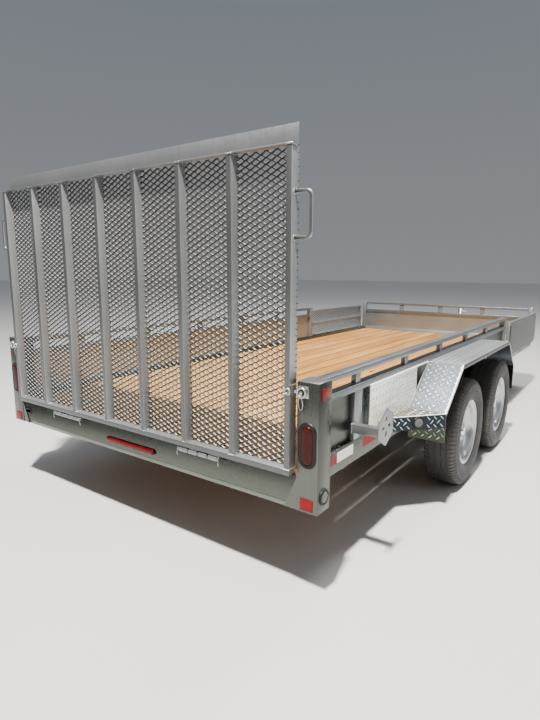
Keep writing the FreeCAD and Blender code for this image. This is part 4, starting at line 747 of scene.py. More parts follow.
def finish_lens(name, tint, share, ribs):
    """Lamp lens with moulded cells behind a glossy face."""
    look = Finish(name, roughness=0.25, IOR=1.27)
    tint = scaled(getattr(colours(), tint), share)
    cells = look.cells(ribs, 0.0, feature="F1", distance="CHEBYCHEV")
    base = look.mix(look.spread(cells, 0.0, 1.0, 0.25, 0.5), scaled(tint, 1.25), scaled(tint, 0.45))
    look.colour(look.mix(look.spread(look.noise(26.0, 2.0), 0.0, 0.5), base, scaled(tint, 1.6)))
    look.bump(cells, 0.0012, 0.7)
    return look


def finish_tape(name, tint, share):
    """Reflecting tape: fine honeycomb under a glossy film."""
    look = Finish(name, roughness=0.5, IOR=1.35)
    tint = scaled(getattr(colours(), tint), share)
    cells = look.cells((260.0, 260.0, 260.0), 0.15, feature="DISTANCE_TO_EDGE")
    wear = look.noise(20.0, 4.0)
    seam = look.times(look.spread(cells, 1.0, 0.0, 0.02, 0.09), look.spread(wear, 0.2, 0.7))
    look.colour(look.mix(seam, tint, scaled(tint, 1.7)))
    look.roughness(look.spread(wear, 0.42, 0.62))
    return look


# Colour, its share and the cells' scale on each axis
LENSES = {
    "stop_lens": ("lamp", 1.0, (95.0, 95.0, 95.0)),
    "marker_lens": ("marker", 1.0, (150.0, 150.0, 150.0)),
    "reflector_lens": ("reflector", 1.0, (210.0, 210.0, 210.0)),
    "identification_lens": ("reflector", 0.45, (40.0, 120.0, 120.0)),
}
# Colour and its share
TAPE_FILMS = {"red_tape": ("reflector", 1.5), "white_tape": ("tape", 1.0)}
OTHER_FINISHES = {
    "fender_planks": finish_fender, "expanded_metal": finish_grille, "wheel_silver": finish_wheel,
    "bright_cap": finish_chrome, "axle_paint": finish_axle, "tyre_rubber": finish_rubber,
    "black_rubber": finish_grommet, "pine_plank": finish_wood, "studio_floor": finish_floor,
}
MADE_FINISHES = {}


def finish(name):
    """The named material, made once."""
    if name not in MADE_FINISHES:
        if name in METALS:
            look = metal_finish(name, METALS[name])
        elif name in LENSES:
            look = finish_lens(name, *LENSES[name])
        elif name in TAPE_FILMS:
            look = finish_tape(name, *TAPE_FILMS[name])
        else:
            look = OTHER_FINISHES[name]()
        MADE_FINISHES[name] = look.material
    return MADE_FINISHES[name]


# Shapes
def turns(count):
    """Angles of equal steps round a circle."""
    return [2 * math.pi * index / count for index in range(count)]


def rod_outline(start, end, radius):
    """Outline of a plain round rod for add_lathe."""
    return ((start, 0.0), (start, radius), (end, radius), (end, 0.0))


def add_box(bm, low, high, radius=0.0):
    """Box with rounded edges."""
    made = bmesh.ops.create_cube(bm, size=1.0)["verts"]
    low, high = Vector(low), Vector(high)
    extent = high - low
    place = Matrix.Translation((low + high) / 2) @ Matrix.Diagonal((*extent, 1.0))
    bmesh.ops.transform(bm, matrix=place, verts=made)
    if radius > 0:
        edges = list({edge for vert in made for edge in vert.link_edges})
        radius = min(radius, 0.4 * min(extent))
        bmesh.ops.bevel(bm, geom=edges, offset=radius, segments=2, profile=0.5, affect="EDGES")


def add_lathe(bm, outline, place, axis, steps):
    """Outline of (distance along axis, radius) turned round an axis; a zero radius closes at its pole."""
    axis = Vector(axis).normalized()
    side = axis.orthogonal().normalized()
    other = axis.cross(side)
    rings = []
    for along, radius in outline:
        centre = Vector(place) + axis * along
        if radius <= 0:
            rings.append([bm.verts.new(centre)])
        else:
            rings.append([bm.verts.new(centre + (side * math.cos(angle) + other * math.sin(angle)) * radius)
                          for angle in turns(steps)])
    pairs = list(zip(rings, rings[1:]))
    if outline[0][1] > 0 and outline[-1][1] > 0:
        pairs.append((rings[-1], rings[0]))
    for first, second in pairs:
        for index in range(steps):
            corners = [first[index % len(first)], first[(index + 1) % len(first)],
                       second[(index + 1) % len(second)], second[index % len(second)]]
            bm.faces.new(list(dict.fromkeys(corners)))


def add_rings(bm, rings, around=False):
    """Skin over rings of equally many points, with caps unless it runs around; gives its vertices."""
    rings = [[bm.verts.new(point) for point in ring] for ring in rings]
    pairs = list(zip(rings, rings[1:]))
    if around:
        pairs.append((rings[-1], rings[0]))
    else:
        bm.faces.new(list(reversed(rings[0])))
        bm.faces.new(rings[-1])
    for here, there in pairs:
        for index in range(len(here)):
            after = (index + 1) % len(here)
            bm.faces.new((here[index], here[after], there[after], there[index]))
    return rings


def add_sweep(bm, path, radius, sides, closed=True):
    """Round bar along a path of points."""
    count = len(path)
    rings = []
    normal = None
    for index, point in enumerate(path):
        before = path[index - 1] if closed or index else point
        after = path[(index + 1) % count] if closed or index < count - 1 else point
        along = (after - before).normalized()
        if normal is None:
            normal = along.orthogonal().normalized()
        normal = (normal - along * normal.dot(along)).normalized()
        cross = along.cross(normal)
        rings.append([point + (normal * math.cos(angle) + cross * math.sin(angle)) * radius
                      for angle in turns(sides)])
    add_rings(bm, rings, around=closed)


def add_prism(bm, points, depth):
    """Flat polygon of 3-D points carried along a depth vector."""
    points = [Vector(point) for point in points]
    add_rings(bm, (points, [point + Vector(depth) for point in points]))


def ring_points(centre, axis, radius, count):
    """Points round a circle whose axis is level."""
    centre, up = Vector(centre), Vector((0, 0, 1))
    other = Vector(axis).cross(up)
    return [centre + (up * math.cos(angle) + other * math.sin(angle)) * radius for angle in turns(count)]


def slot_rings(centre, wide, long, steps, upright=True, count=10):
    """Rounded slots on a face that looks to the rear, one for each (growth, distance out) step."""
    half = (long - wide) / 2
    rings = []
    for growth, out in steps:
        radius = wide / 2 + growth
        ring = []
        for middle, start in ((half, 0.0), (-half, math.pi)):
            for index in range(count + 1):
                angle = start + math.pi * index / count
                across, along = radius * math.cos(angle), middle + radius * math.sin(angle)
                ring.append(centre + Vector((across, -out, along) if upright else (along, -out, across)))
        rings.append(ring)
    return rings


def mirror_bmesh(bm):
    """Adds the mirror image across the trailer's middle."""
    copied = bmesh.ops.duplicate(bm, geom=bm.verts[:] + bm.edges[:] + bm.faces[:])["geom"]
    verts = [item for item in copied if isinstance(item, bmesh.types.BMVert)]
    bmesh.ops.transform(bm, matrix=MIRROR, verts=verts)
    bmesh.ops.reverse_faces(bm, faces=[item for item in copied if isinstance(item, bmesh.types.BMFace)])


# Objects
def mesh_of(name, bm):
    """Mesh made from a bmesh, which is used up."""
    mesh = bpy.data.meshes.new(name)
    bm.to_mesh(mesh)
    bm.free()
    return mesh


def linked(name, data):
    """Object in the scene."""
    obj = bpy.data.objects.new(name, data)
    bpy.context.scene.collection.objects.link(obj)
    return obj


def shaded(name, mesh, sharp):
    """Object of a mesh with soft shading; edges over the sharp angle stay crisp."""
    mesh.shade_smooth()
    mesh.set_sharp_from_angle(angle=math.radians(sharp))
    return linked(name, mesh)


def paint(mesh, look):
    """Gives a mesh its only finish."""
    mesh.materials.clear()
    mesh.materials.append(finish(look))


def dressed(name, bm, look, sharp):
    """Object of a bmesh with its finish."""
    mesh = mesh_of(name, bm)
    paint(mesh, look)
    return shaded(name, mesh, sharp)


def built(name, bm, look, sharp=40.0):
    """Object of a bmesh with its finish and its faces outward."""
    bmesh.ops.recalc_face_normals(bm, faces=bm.faces)
    return dressed(name, bm, look, sharp)


def fit(obj, body, nodes=()):
    """Hands a finished object to its body and hides the plain nodes it stands for."""
    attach(obj, body)
    if nodes:
        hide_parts(*nodes)


def piece(name, bm, look, body, nodes=(), sharp=40.0):
    """One piece from a bmesh, fitted to its body."""
    fit(built(name, bm, look, sharp), body, nodes)


def mirrored_copy(right):
    """The same piece on the trailer's left side."""
    mesh = right.data.copy()
    mesh.transform(MIRROR)
    mesh.flip_normals()
    return linked(right.name.replace("_right", "_left"), mesh)


def fit_pair(right, body, node=None):
    """Fits a piece and its mirror image; the names of their bodies and plain nodes go on with the side."""
    for obj, side in ((right, "right"), (mirrored_copy(right), "left")):
        fit(obj, body + side, (node + side,) if node else ())


def node_bmesh(node):
    """Bmesh of a plain node with its vertices joined."""
    bm = bmesh.new()
    bm.from_mesh(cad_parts[node].data)
    bmesh.ops.remove_doubles(bm, verts=bm.verts, dist=JOIN_DISTANCE)
    return bm


def softened(node, look):
    """Copy of a plain node of the frame with its edges rounded."""
    bm = node_bmesh(node)
    bmesh.ops.dissolve_limit(bm, angle_limit=math.radians(1.0), verts=bm.verts, edges=bm.edges)
    edges = [edge for edge in bm.edges if edge.is_manifold and edge.calc_face_angle(0.0) > math.radians(40.0)]
    bmesh.ops.bevel(bm, geom=edges, offset=sizes().edge_radius, segments=2, profile=0.5, affect="EDGES",
                    clamp_overlap=True)
    fit(dressed(node + "_rounded", bm, look, 40.0), "frame", (node,))


def smoothed(node, look, body, sharp=32.0):
    """Copy of a plain node with its round faces shaded round."""
    fit(dressed(node + "_smooth", node_bmesh(node), look, sharp), body, (node,))


# Repeats
class Tree:
    """One geometry node tree with named inputs; it repeats its part and sets its material."""

    def __init__(self, name, inputs=()):
        self.group = bpy.data.node_groups.new(name, "GeometryNodeTree")
        sockets = self.group.interface
        sockets.new_socket(name="Geometry", in_out="INPUT", socket_type="NodeSocketGeometry")
        for label, kind in (("Part", "Object"), *inputs, ("Material", "Material")):
            sockets.new_socket(name=label, in_out="INPUT", socket_type="NodeSocket" + kind)
        sockets.new_socket(name="Geometry", in_out="OUTPUT", socket_type="NodeSocketGeometry")
        self.inlet = self.group.nodes.new("NodeGroupInput").outputs
        self.outlet = self.group.nodes.new("NodeGroupOutput").inputs

    def link(self, source, target):
        self.group.links.new(source, target)

    def add(self, kind, inputs, **settings):
        node = self.group.nodes.new(kind)
        for key, value in settings.items():
            setattr(node, key, value)
        for key, value in inputs.items():
            socket = node.inputs[key]
            if isinstance(value, bpy.types.NodeSocket):
                self.link(value, socket)
            else:
                socket.default_value = value
        return node.outputs

    def math(self, kind, first, second):
        return self.add("ShaderNodeMath", {0: first, 1: second}, operation=kind)[0]

    def attribute(self, name):
        made = self.add("GeometryNodeInputNamedAttribute", {"Name": name}, data_type="FLOAT_VECTOR")
        return made["Attribute"]

    def repeat(self, points, **inputs):
        """The part as real geometry on every point."""
        part = self.add("GeometryNodeObjectInfo", {"Object": self.inlet["Part"]}, transform_space="ORIGINAL")
        placed = self.add("GeometryNodeInstanceOnPoints",
                          {"Points": points, "Instance": part["Geometry"], **inputs})[0]
        return self.add("GeometryNodeRealizeInstances", {"Geometry": placed})[0]

    def end(self, geometry):
        painted = self.add("GeometryNodeSetMaterial",
                           {"Geometry": geometry, "Material": self.inlet["Material"]})
        self.link(painted[0], self.outlet["Geometry"])
        return self.group


def repeat_tree():
    """A part set on every point, turned and sized by the points' own attributes."""
    tree = Tree("repeat_on_points")
    turned = tree.add("FunctionNodeEulerToRotation", {0: tree.attribute("turn")})[0]
    return tree.end(tree.repeat(tree.inlet["Geometry"], Rotation=turned, Scale=tree.attribute("grow")))


def grille_tree():
    """Staggered rows of diamond tiles joined into one sheet."""
    tree = Tree("expanded_metal", (("Columns", "Int"), ("Rows", "Int"), ("Long Way", "Float"),
                                   ("Short Way", "Float")))
    columns, rows = tree.inlet["Columns"], tree.inlet["Rows"]
    long_way, short_way = tree.inlet["Long Way"], tree.inlet["Short Way"]
    wide = tree.math("MULTIPLY", tree.math("SUBTRACT", columns, 1.0), long_way)
    tall = tree.math("MULTIPLY", tree.math("SUBTRACT", rows, 1.0), short_way)
    grid = tree.add("GeometryNodeMeshGrid",
                    {"Size X": wide, "Size Y": tall, "Vertices X": columns, "Vertices Y": rows})[0]
    shift = tree.add("ShaderNodeCombineXYZ", {"X": tree.math("MULTIPLY", long_way, 0.5),
                                              "Y": tree.math("MULTIPLY", short_way, 0.5)})[0]
    moved = tree.add("GeometryNodeTransform", {"Geometry": grid, "Translation": shift})[0]
    joined = tree.add("GeometryNodeJoinGeometry", {"Geometry": grid})[0]
    tree.link(moved, joined.node.inputs["Geometry"])
    sheet = tree.repeat(joined)
    return tree.end(tree.add("GeometryNodeMergeByDistance", {"Geometry": sheet, "Distance": TILE_JOIN})[0])


MADE_TREES = {}


def grown(name, maker, mesh, part_bm, look, **inputs):
    """Mesh that a node tree grows on a mesh from a part."""
    if maker not in MADE_TREES:
        MADE_TREES[maker] = maker()
    tree = MADE_TREES[maker]
    obj = linked(name, mesh)
    part = linked(name + "_part", mesh_of(name + "_part", part_bm))
    modifier = obj.modifiers.new("Nodes", "NODES")
    modifier.node_group = tree
    left = {"Part": part, "Material": finish(look)}
    left.update((key.replace("_", " "), value) for key, value in inputs.items())
    for item in tree.interface.items_tree:
        if item.in_out == "INPUT" and item.name in left:
            modifier[item.identifier] = left.pop(item.name)
    if left:
        raise RuntimeError(f"{name}: no inputs named {sorted(left)}")
    graph = bpy.context.evaluated_depsgraph_get()
    result = bpy.data.meshes.new_from_object(obj.evaluated_get(graph), depsgraph=graph)
    bpy.data.objects.remove(obj)
    bpy.data.objects.remove(part)
    if not result.polygons:
        raise RuntimeError(f"{name}: the node tree gave no faces")
    result.name = name
    return result


def repeated(name, part_bm, places, look, sharp=60.0):
    """A small part repeated at (location, Euler turn, size) places, as one object."""
    bmesh.ops.recalc_face_normals(part_bm, faces=part_bm.faces)
    points = bpy.data.meshes.new(name + "_points")
    points.from_pydata([tuple(place) for place, turn, grow in places], [], [])
    for label, index in (("turn", 1), ("grow", 2)):
        attribute = points.attributes.new(label, "FLOAT_VECTOR", "POINT")
        for item, place in zip(attribute.data, places):
            item.vector = place[index]
    return shaded(name, grown(name, repeat_tree, points, part_bm, look), sharp)


def turn_to(normal, roll=0.0):
    """Euler turn that sets a part's Z on a normal, rolled about it."""
    return (Vector(normal).to_track_quat("Z", "Y").to_matrix() @ Matrix.Rotation(roll, 3, "Z")).to_euler()


# Pieces
class TRAILER_OT_frame(bpy.types.Operator):
    """Round the frame's tubes and sheets and give them their finishes"""
    bl_idname = "trailer.frame"
    bl_label = "Frame and walls"

    def execute(self, context):
        for node, look in ROUNDED.items():
            softened(node, look)
        for node, (look, body, slot_name) in SMOOTHED.items():
            smoothed(node, look, body)
        for node, look in PAINTED.items():
            paint(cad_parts[node].data, look)
        return {"FINISHED"}


class TRAILER_OT_bulkhead(bpy.types.Operator):
    """Add the bulkhead's folded lip and wiring grommet"""
    bl_idname = "trailer.bulkhead"
    bl_label = "Bulkhead details"

    def execute(self, context):
        end = POST_INNER_X - LIP_SHORT
        lip = bmesh.new()
        add_box(lip, (-end, BULKHEAD_FACE_Y - LIP_PROUD, BULKHEAD_LOW.z),
                (end, BULKHEAD_FACE_Y + LAP, BULKHEAD_LOW.z + LIP_HEIGHT), THIN_ROUND)
        piece("bulkhead_lip", lip, "bulkhead_lip", "frame")
        rubber = bmesh.new()
        add_rings(rubber, slot_rings(WIRING_PLACE, WIRING_WIDTH, WIRING_LENGTH, WIRING_STEPS, upright=False,
                                     count=8))
        piece("wiring_grommet", rubber, "black_rubber", "frame", sharp=50.0)
        return {"FINISHED"}


def ramp_gate_frame():
    """Ribs, foot rail and top angle of the rear gate."""
    radius = sizes().edge_radius
    low, high = GATE_LOW, GATE_HIGH
    foot, flange = GRILLE_LOW.z, GRILLE_HIGH.z
    bm = bmesh.new()
    for index in range(GATE_RIBS):
        left = low.x + index * RIB_PITCH
        add_box(bm, (left, low.y, foot - LAP), (left + RIB_WIDTH, high.y, flange + LAP), radius)
    add_box(bm, low, (high.x, high.y, foot), radius)
    add_box(bm, (low.x, low.y, flange), (high.x, high.y, flange + ANGLE_WALL), radius)
    add_box(bm, (low.x, high.y - ANGLE_WALL, flange + ANGLE_WALL - 2 * LAP), high, radius)
    return bm


def side_gate_frame():
    """Three rails, two end tubes and three knuckles of the right side gate."""
    radius = sizes().edge_radius
    tube, reach, half_lug = SIDE_TUBE, SIDE_KNUCKLE_LENGTH / 2, SIDE_LUG_THICKNESS / 2
    low = Vector((SIDE_GATE_LOW.x, SIDE_GRILLE_LOW.y, SIDE_GRILLE_LOW.z))
    high = Vector((SIDE_GATE_HIGH.x, SIDE_GRILLE_HIGH.y, SIDE_GRILLE_HIGH.z))
    middle = (low + high) / 2
    bm = bmesh.new()
    for start in (low.z, middle.z - tube / 2, high.z - tube):
        add_box(bm, (low.x, low.y + tube - LAP, start), (high.x, high.y - tube + LAP, start + tube), radius)
    for start in (low.y, high.y - tube):
        add_box(bm, (low.x, start, low.z), (high.x, start + tube, high.z), radius)
    x, z = low.x + SIDE_KNUCKLE_IN, SIDE_GATE_LOW.z + SIDE_KNUCKLE_RADIUS
    for y in (low.y + SIDE_KNUCKLE_FROM_END, middle.y, high.y - SIDE_KNUCKLE_FROM_END):
        add_lathe(bm, rod_outline(-reach, reach, SIDE_KNUCKLE_RADIUS), (x, y, z), (0, 1, 0), 16)
        add_box(bm, (x - half_lug, y - reach, z), (x + half_lug, y + reach, low.z), 0.0005)
    return bm


class TRAILER_OT_gates(bpy.types.Operator):
    """Build the rear gate's and side gates' frames with rounded edges"""
    bl_idname = "trailer.gates"
    bl_label = "Gate frames"

    def execute(self, context):
        piece("gate_frame_rounded", ramp_gate_frame(), "gate_aluminium", "ramp_gate",
              ("gate_frame",))
        right = built("side_gate_frame_rounded_right", side_gate_frame(), "mill_upright")
        fit_pair(right, "side_gate_", "side_gate_frame_")
        return {"FINISHED"}


def diamond_tile():
    """One opening of expanded metal with half of each twisted strand round it, looking along +Z."""
    bm = bmesh.new()
    dark = bm.faces.layers.float.new("dark")
    a, b = sizes().diamond_length / 2, sizes().diamond_height / 2
    depth, rise, lean = sizes().strand_depth, sizes().strand_rise, sizes().strand_lean
    inset = sizes().strand_height / 2 * math.hypot(a, b) / (a * b)
    bond, tip, edge = BOND_SHARE * a, a * (1 - inset), b * (1 - inset)
    outer = ((a, 0, 0), (0, b, 0), (-a, 0, 0), (0, -b, 0))
    inner = ((tip, 0, 0), (bond, edge, -lean), (-bond, edge, -lean), (-tip, 0, 0), (-bond, -edge, lean),
             (bond, -edge, lean))
    walls = []
    # The strands' rear and front faces get painted shade
    for side, painted_shade_share in ((1, REAR_FACE_PAINTED_SHADE), (-1, FRONT_FACE_PAINTED_SHADE)):
        lift = Vector((0, -side * rise / 2, side * depth / 2))
        o = [bm.verts.new(Vector(point) + lift) for point in outer]
        i = [bm.verts.new(Vector(point) + lift) for point in inner]
        for loop in ((o[0], o[1], i[1], i[0]), (o[1], i[2], i[1]), (o[1], o[2], i[3], i[2]),
                     (o[2], o[3], i[4], i[3]), (o[3], i[5], i[4]), (o[3], o[0], i[0], i[5])):
            bm.faces.new(loop if side > 0 else tuple(reversed(loop)))[dark] = painted_shade_share
        walls.append(i)
    rear_edge, front_edge = walls
    for index in range(len(inner)):
        after = (index + 1) % len(inner)
        wall = bm.faces.new((rear_edge[index], rear_edge[after], front_edge[after], front_edge[index]))
        # Walls that look up get painted light, the others painted shade
        looks_up = index >= len(inner) / 2
        wall[dark] = 0.0 if looks_up else 1.0
    return bm


def grille(name, wide, tall, place):
    """Expanded metal that covers a width and height, set in place by a matrix."""
    long_way, short_way = sizes().diamond_length, sizes().diamond_height
    columns, rows = round(wide / long_way), round(tall / short_way)
    mesh = grown(name, grille_tree, bpy.data.meshes.new(name + "_seed"), diamond_tile(), "expanded_metal",
                 Columns=columns, Rows=rows, Long_Way=long_way, Short_Way=short_way)
    stretch = Matrix.Diagonal((wide / ((columns + 0.5) * long_way), tall / ((rows + 0.5) * short_way), 1, 1))
    mesh.transform(place @ stretch @ Matrix.Translation((-long_way / 4, -short_way / 4, 0)))
    return shaded(name, mesh, 20.0)


class TRAILER_OT_grilles(bpy.types.Operator):
    """Lay the expanded metal of the rear gate and the side gates"""
    bl_idname = "trailer.grilles"
    bl_label = "Expanded metal"

    def execute(self, context):
        upright = Matrix.Rotation(math.radians(90.0), 4, "X")
        turned = Matrix.Rotation(math.radians(90.0), 4, "Z") @ upright
        wide = GATE_HIGH.x - GATE_LOW.x + 2 * GRILLE_PAST_RIB
        tall = GRILLE_HIGH.z - GRILLE_LOW.z + 2 * GRILLE_PAST_RAIL
        middle = Vector((0, GRILLE_HIGH.y - GRILLE_INSET, (GRILLE_LOW.z + GRILLE_HIGH.z) / 2))
        sheet = grille("gate_grille", wide, tall, Matrix.Translation(middle) @ upright)
        fit(sheet, "ramp_gate", ("gate_mesh",))
        extent = SIDE_GRILLE_HIGH - SIDE_GRILLE_LOW
        middle = (SIDE_GRILLE_LOW + SIDE_GRILLE_HIGH) / 2
        middle.x = SIDE_GRILLE_LOW.x + GRILLE_INSET
        right = grille("side_grille_right", extent.y - 2 * SIDE_GRILLE_GAP, extent.z - 2 * SIDE_GRILLE_GAP,
                       Matrix.Translation(middle) @ turned)
        fit_pair(right, "side_gate_", "side_gate_mesh_")
        return {"FINISHED"}


class TRAILER_OT_deck(bpy.types.Operator):
    """Lay the deck's planks and drive their screws"""
    bl_idname = "trailer.deck"
    bl_label = "Deck planks"

    def execute(self, context):
        chance = random.Random(11)
        wide = PLANK_PITCH - PLANK_GAP
        left_edges = [DECK_LOW.x + index * PLANK_PITCH for index in range(PLANKS)]
        boards = bmesh.new()
        tones = []
        for left in left_edges:
            low = (left, DECK_LOW.y, DECK_LOW.z)
            high = (left + wide, DECK_HIGH.y, DECK_HIGH.z - chance.uniform(0.0, PLANK_SAG))
            add_box(boards, low, high, sizes().plank_round)
            tones.append(chance.random())
        deck = built("deck_boards", boards, "pine_plank")
        values = deck.data.attributes.new("tone", "FLOAT", "POINT")
        for vert, item in zip(deck.data.vertices, values.data):
            index = int((vert.co.x - DECK_LOW.x) / PLANK_PITCH)
            item.value = tones[min(PLANKS - 1, max(0, index))]
        fit(deck, "frame", ("deck_planks",))
        head = bmesh.new()
        outline = [(along, share * sizes().screw_head) for along, share in SCREW_OUTLINE]
        add_lathe(head, outline, (0, 0, 0), (0, 0, 1), 8)
        places = []
        for y in SCREW_ROWS:
            for left in left_edges:
                for share in SCREW_SHARES:
                    place = (left + share * wide + chance.uniform(-SCREW_SLIP_X, SCREW_SLIP_X),
                             y + chance.uniform(-SCREW_SLIP_Y, SCREW_SLIP_Y), DECK_HIGH.z - SCREW_SINK)
                    places.append((place, (0, 0, chance.uniform(0, 3)), (1, 1, 1)))
        fit(repeated("deck_screws", head, places, "zinc_plate", 35.0), "frame")
        return {"FINISHED"}


def plate_bars(corners, normal, along, hole=None):
    """Places for the raised bars of tread plate inside a flat polygon, clear of a (centre, radius) hole."""
    pitch, spacing = sizes().tread_pitch, sizes().tread_rows
    corners = [Vector(corner) for corner in corners]
    normal = Vector(normal).normalized()
    along = Vector(along).normalized()
    across = normal.cross(along)
    origin = sum(corners, Vector()) / len(corners)
    flat = [((corner - origin).dot(along), (corner - origin).dot(across)) for corner in corners]
    margin = sizes().bar_length * BAR_MARGIN_SHARE

    def inside(u, v):
        gaps = [((u1 - u0) * (v - v0) - (v1 - v0) * (u - u0)) / math.hypot(u1 - u0, v1 - v0)
                for (u0, v0), (u1, v1) in zip(flat, flat[1:] + flat[:1])]
        return all(gap > margin for gap in gaps) or all(gap < -margin for gap in gaps)

    rows = int(max(abs(v) for u, v in flat) / spacing) + 2
    columns = int(max(abs(u) for u, v in flat) / pitch) + 2
    places = []
    for row in range(-rows, rows + 1):
        roll = math.radians(-45.0 if row % 2 else 45.0)
        turn = (Matrix((along, across, normal)).transposed() @ Matrix.Rotation(roll, 3, "Z")).to_euler()
        for column in range(-columns, columns + 1):
            u, v = (column + 0.5 * (row % 2)) * pitch, row * spacing
            point = origin + along * u + across * v
            if inside(u, v) and not (hole and (point - hole[0]).length < hole[1]):
                places.append((point, turn, (1, 1, 1)))
    return places


def slope_bars(high_y, low_y, low_z):
    """Places on the plate that slopes down from one end of the fender's top."""
    slope = Vector((0, low_y - high_y, low_z - FENDER_TOP_Z))
    inner, outer = WALL_X + PLATE_EDGE, FENDER_HIGH.x
    corners = [(inner, high_y, FENDER_TOP_Z), (outer, high_y, FENDER_TOP_Z), (outer, low_y, low_z),
               (inner, low_y, low_z)]
    return plate_bars(corners, (0, -slope.z if slope.y > 0 else slope.z, abs(slope.y)), slope)


def tread_places():
    """Places for the bars on the right fender, wall and step."""
    inner, outer = WALL_X + PLATE_EDGE, FENDER_HIGH.x
    foot_y, apron_z = STEPS_HIGH.y, PLATES_LOW.z + APRON_HEM
    places = slope_bars(FENDER_LOW.y, foot_y, STEP_Z)
    places += slope_bars(FENDER_HIGH.y, PLATES_HIGH.y, FRONT_FOOT_Z)
    x, fold = WALL_X + PANEL_PROUD, PANEL_CORNER
    places += plate_bars([(x, PLATES_LOW.y, STEP_Z), (x, foot_y, STEP_Z), (x, fold.y, fold.z),
                          (x, fold.y, FENDER_TOP_Z), (x, PLATES_LOW.y, FENDER_TOP_Z)], (1, 0, 0), (0, 1, 0))
    places += plate_bars([(WALL_X, STEPS_LOW.y, STEP_Z), (outer, foot_y, STEP_Z), (WALL_X, foot_y, STEP_Z)],
                         (0, 0, 1), (0, 1, 0))
    places += plate_bars([(inner, foot_y, STEP_Z), (outer, foot_y, STEP_Z), (outer, foot_y, apron_z),
                          (inner, foot_y, apron_z)], (0, -1, 0), (0, 0, 1))
    top, bottom = Vector((0, 0, STEP_Z)), Vector((0, 0, STEPS_LOW.z))
    places += plate_bars([STEP_REAR + top, STEP_FRONT + top, STEP_FRONT + bottom, STEP_REAR + bottom],
                         STEP_OUT, STEP_ALONG, (STEP_LAMP, STEP_LAMP_CLEAR))
    return places


def tread_bar():
    """One raised bar of tread plate, a long low diamond with blunt ends."""
    half, wide, tall = sizes().bar_length / 2, sizes().bar_width / 2, sizes().bar_height
    waist = half * BAR_WAIST_SHARE
    foot = ((half, 0), (waist, wide), (-waist, wide), (-half, 0), (-waist, -wide), (waist, -wide))
    bm = bmesh.new()
    add_rings(bm, ([(x, y, -BAR_SINK) for x, y in foot],
                   [(x * BAR_TOP_LENGTH_SHARE, y * BAR_TOP_WIDTH_SHARE, tall) for x, y in foot]))
    return bm


class TRAILER_OT_tread(bpy.types.Operator):
    """Raise the bars of the tread plate on the fenders, walls and steps, and finish the plates' edges"""
    bl_idname = "trailer.tread"
    bl_label = "Tread plate"

    def execute(self, context):
        outer, top, foot = FENDER_HIGH.x, FENDER_TOP_Z, STEP_Z
        rear_y, foot_y, slope_y = PLATES_LOW.y, STEPS_HIGH.y, FENDER_LOW.y
        low, high = Vector((WALL_X, rear_y, foot)), Vector((WALL_X, rear_y, top))
        fold = bmesh.new()
        add_box(fold, low + FOLD_LOW, high + FOLD_HIGH, THIN_ROUND)
        mirror_bmesh(fold)
        piece("wall_plate_folds", fold, "tread_plate_bars", "frame")
        edges = bmesh.new()
        add_box(edges, high + TOP_EDGE_LOW, Vector((WALL_X, slope_y, top)) + TOP_EDGE_HIGH, 0.001)
        proud = Vector((0, foot - top, slope_y - foot_y)).normalized() * SLOPE_EDGE_PROUD
        add_prism(edges, [(outer - PLATE_EDGE, slope_y, top), (outer, slope_y, top), (outer, foot_y, foot),
                          (outer - PLATE_EDGE, foot_y, foot)], proud)
        start, end = Vector((WALL_X + PANEL_PROUD, STEPS_LOW.y, foot)), Vector((outer, foot_y, foot))
        across = STEP_OUT * -STEP_EDGE_WIDTH
        add_prism(edges, [start, end, end + across, start + across], (0, 0, STEP_EDGE_PROUD))
        mirror_bmesh(edges)
        piece("tread_plate_edges", edges, "bright_edge", "frame")
        # Near-black triangles on the wall sheet above each slope, by the panel's foot, are painted shade
        patch = bmesh.new()
        corner = PANEL_CORNER - Vector((PANEL_BACK, 0, 0))
        add_prism(patch, [corner, (corner.x, slope_y, top), (corner.x, corner.y, top)],
                  (PATCH_THICKNESS, 0, 0))
        mirror_bmesh(patch)
        piece("wall_end_patches", patch, "dark_sheet", "frame")
        right = repeated("tread_bars_right", tread_bar(), tread_places(), "tread_plate_bars")
        for bars in (right, mirrored_copy(right)):
            fit(bars, "frame")
        return {"FINISHED"}


def tyre_outline(block, wave):
    """Section of the tyre in millimetres; block lifts the shoulder lugs, wave moves the grooves' edges."""
    drop = 0.0 if block else SHOULDER_DROP
    wall = [(78.0, 192.0), (78.0, 206.5), (84.5, 207.0), (88.5, 213.0), (92.0, 222.0), (95.5, 228.0),
            (96.5, 232.0), (97.0, 236.0), (99.2, 243.0), (100.6, 252.0), (101.4, 261.0), (101.5, 263.0),
            (100.9, 264.0), (100.9, 268.0), (101.5, 269.0), (101.2, 276.0), (100.2, 286.0), (99.5, 287.0),
            (99.0, 291.0), (98.6, 296.0), (97.6, 303.0)]
    shoulder = [(95.4 - drop * 0.2, 312.0), (93.0 - drop * 0.5, 320.0 - drop * 0.3),
                (89.0 - drop * 0.6, 328.0 - drop * 0.7), (83.0, 335.0 - drop), (76.0, 339.6 - drop),
                (66.0, 341.4 - drop)]
    tread = [(56.0 + wave, 342.4 - drop * 0.3), (54.5 + wave, GROOVE_RADIUS), (47.5 + wave, GROOVE_RADIUS),
             (46.0 + wave, 343.2), (23.0 - wave, 343.9), (21.5 - wave, INNER_GROOVE_RADIUS),
             (14.5 - wave, INNER_GROOVE_RADIUS), (13.0 - wave, TREAD_RADIUS)]
    half = wall + shoulder + tread
    return half + [(0.0, TREAD_RADIUS)] + [(-across, radius) for across, radius in reversed(half)]


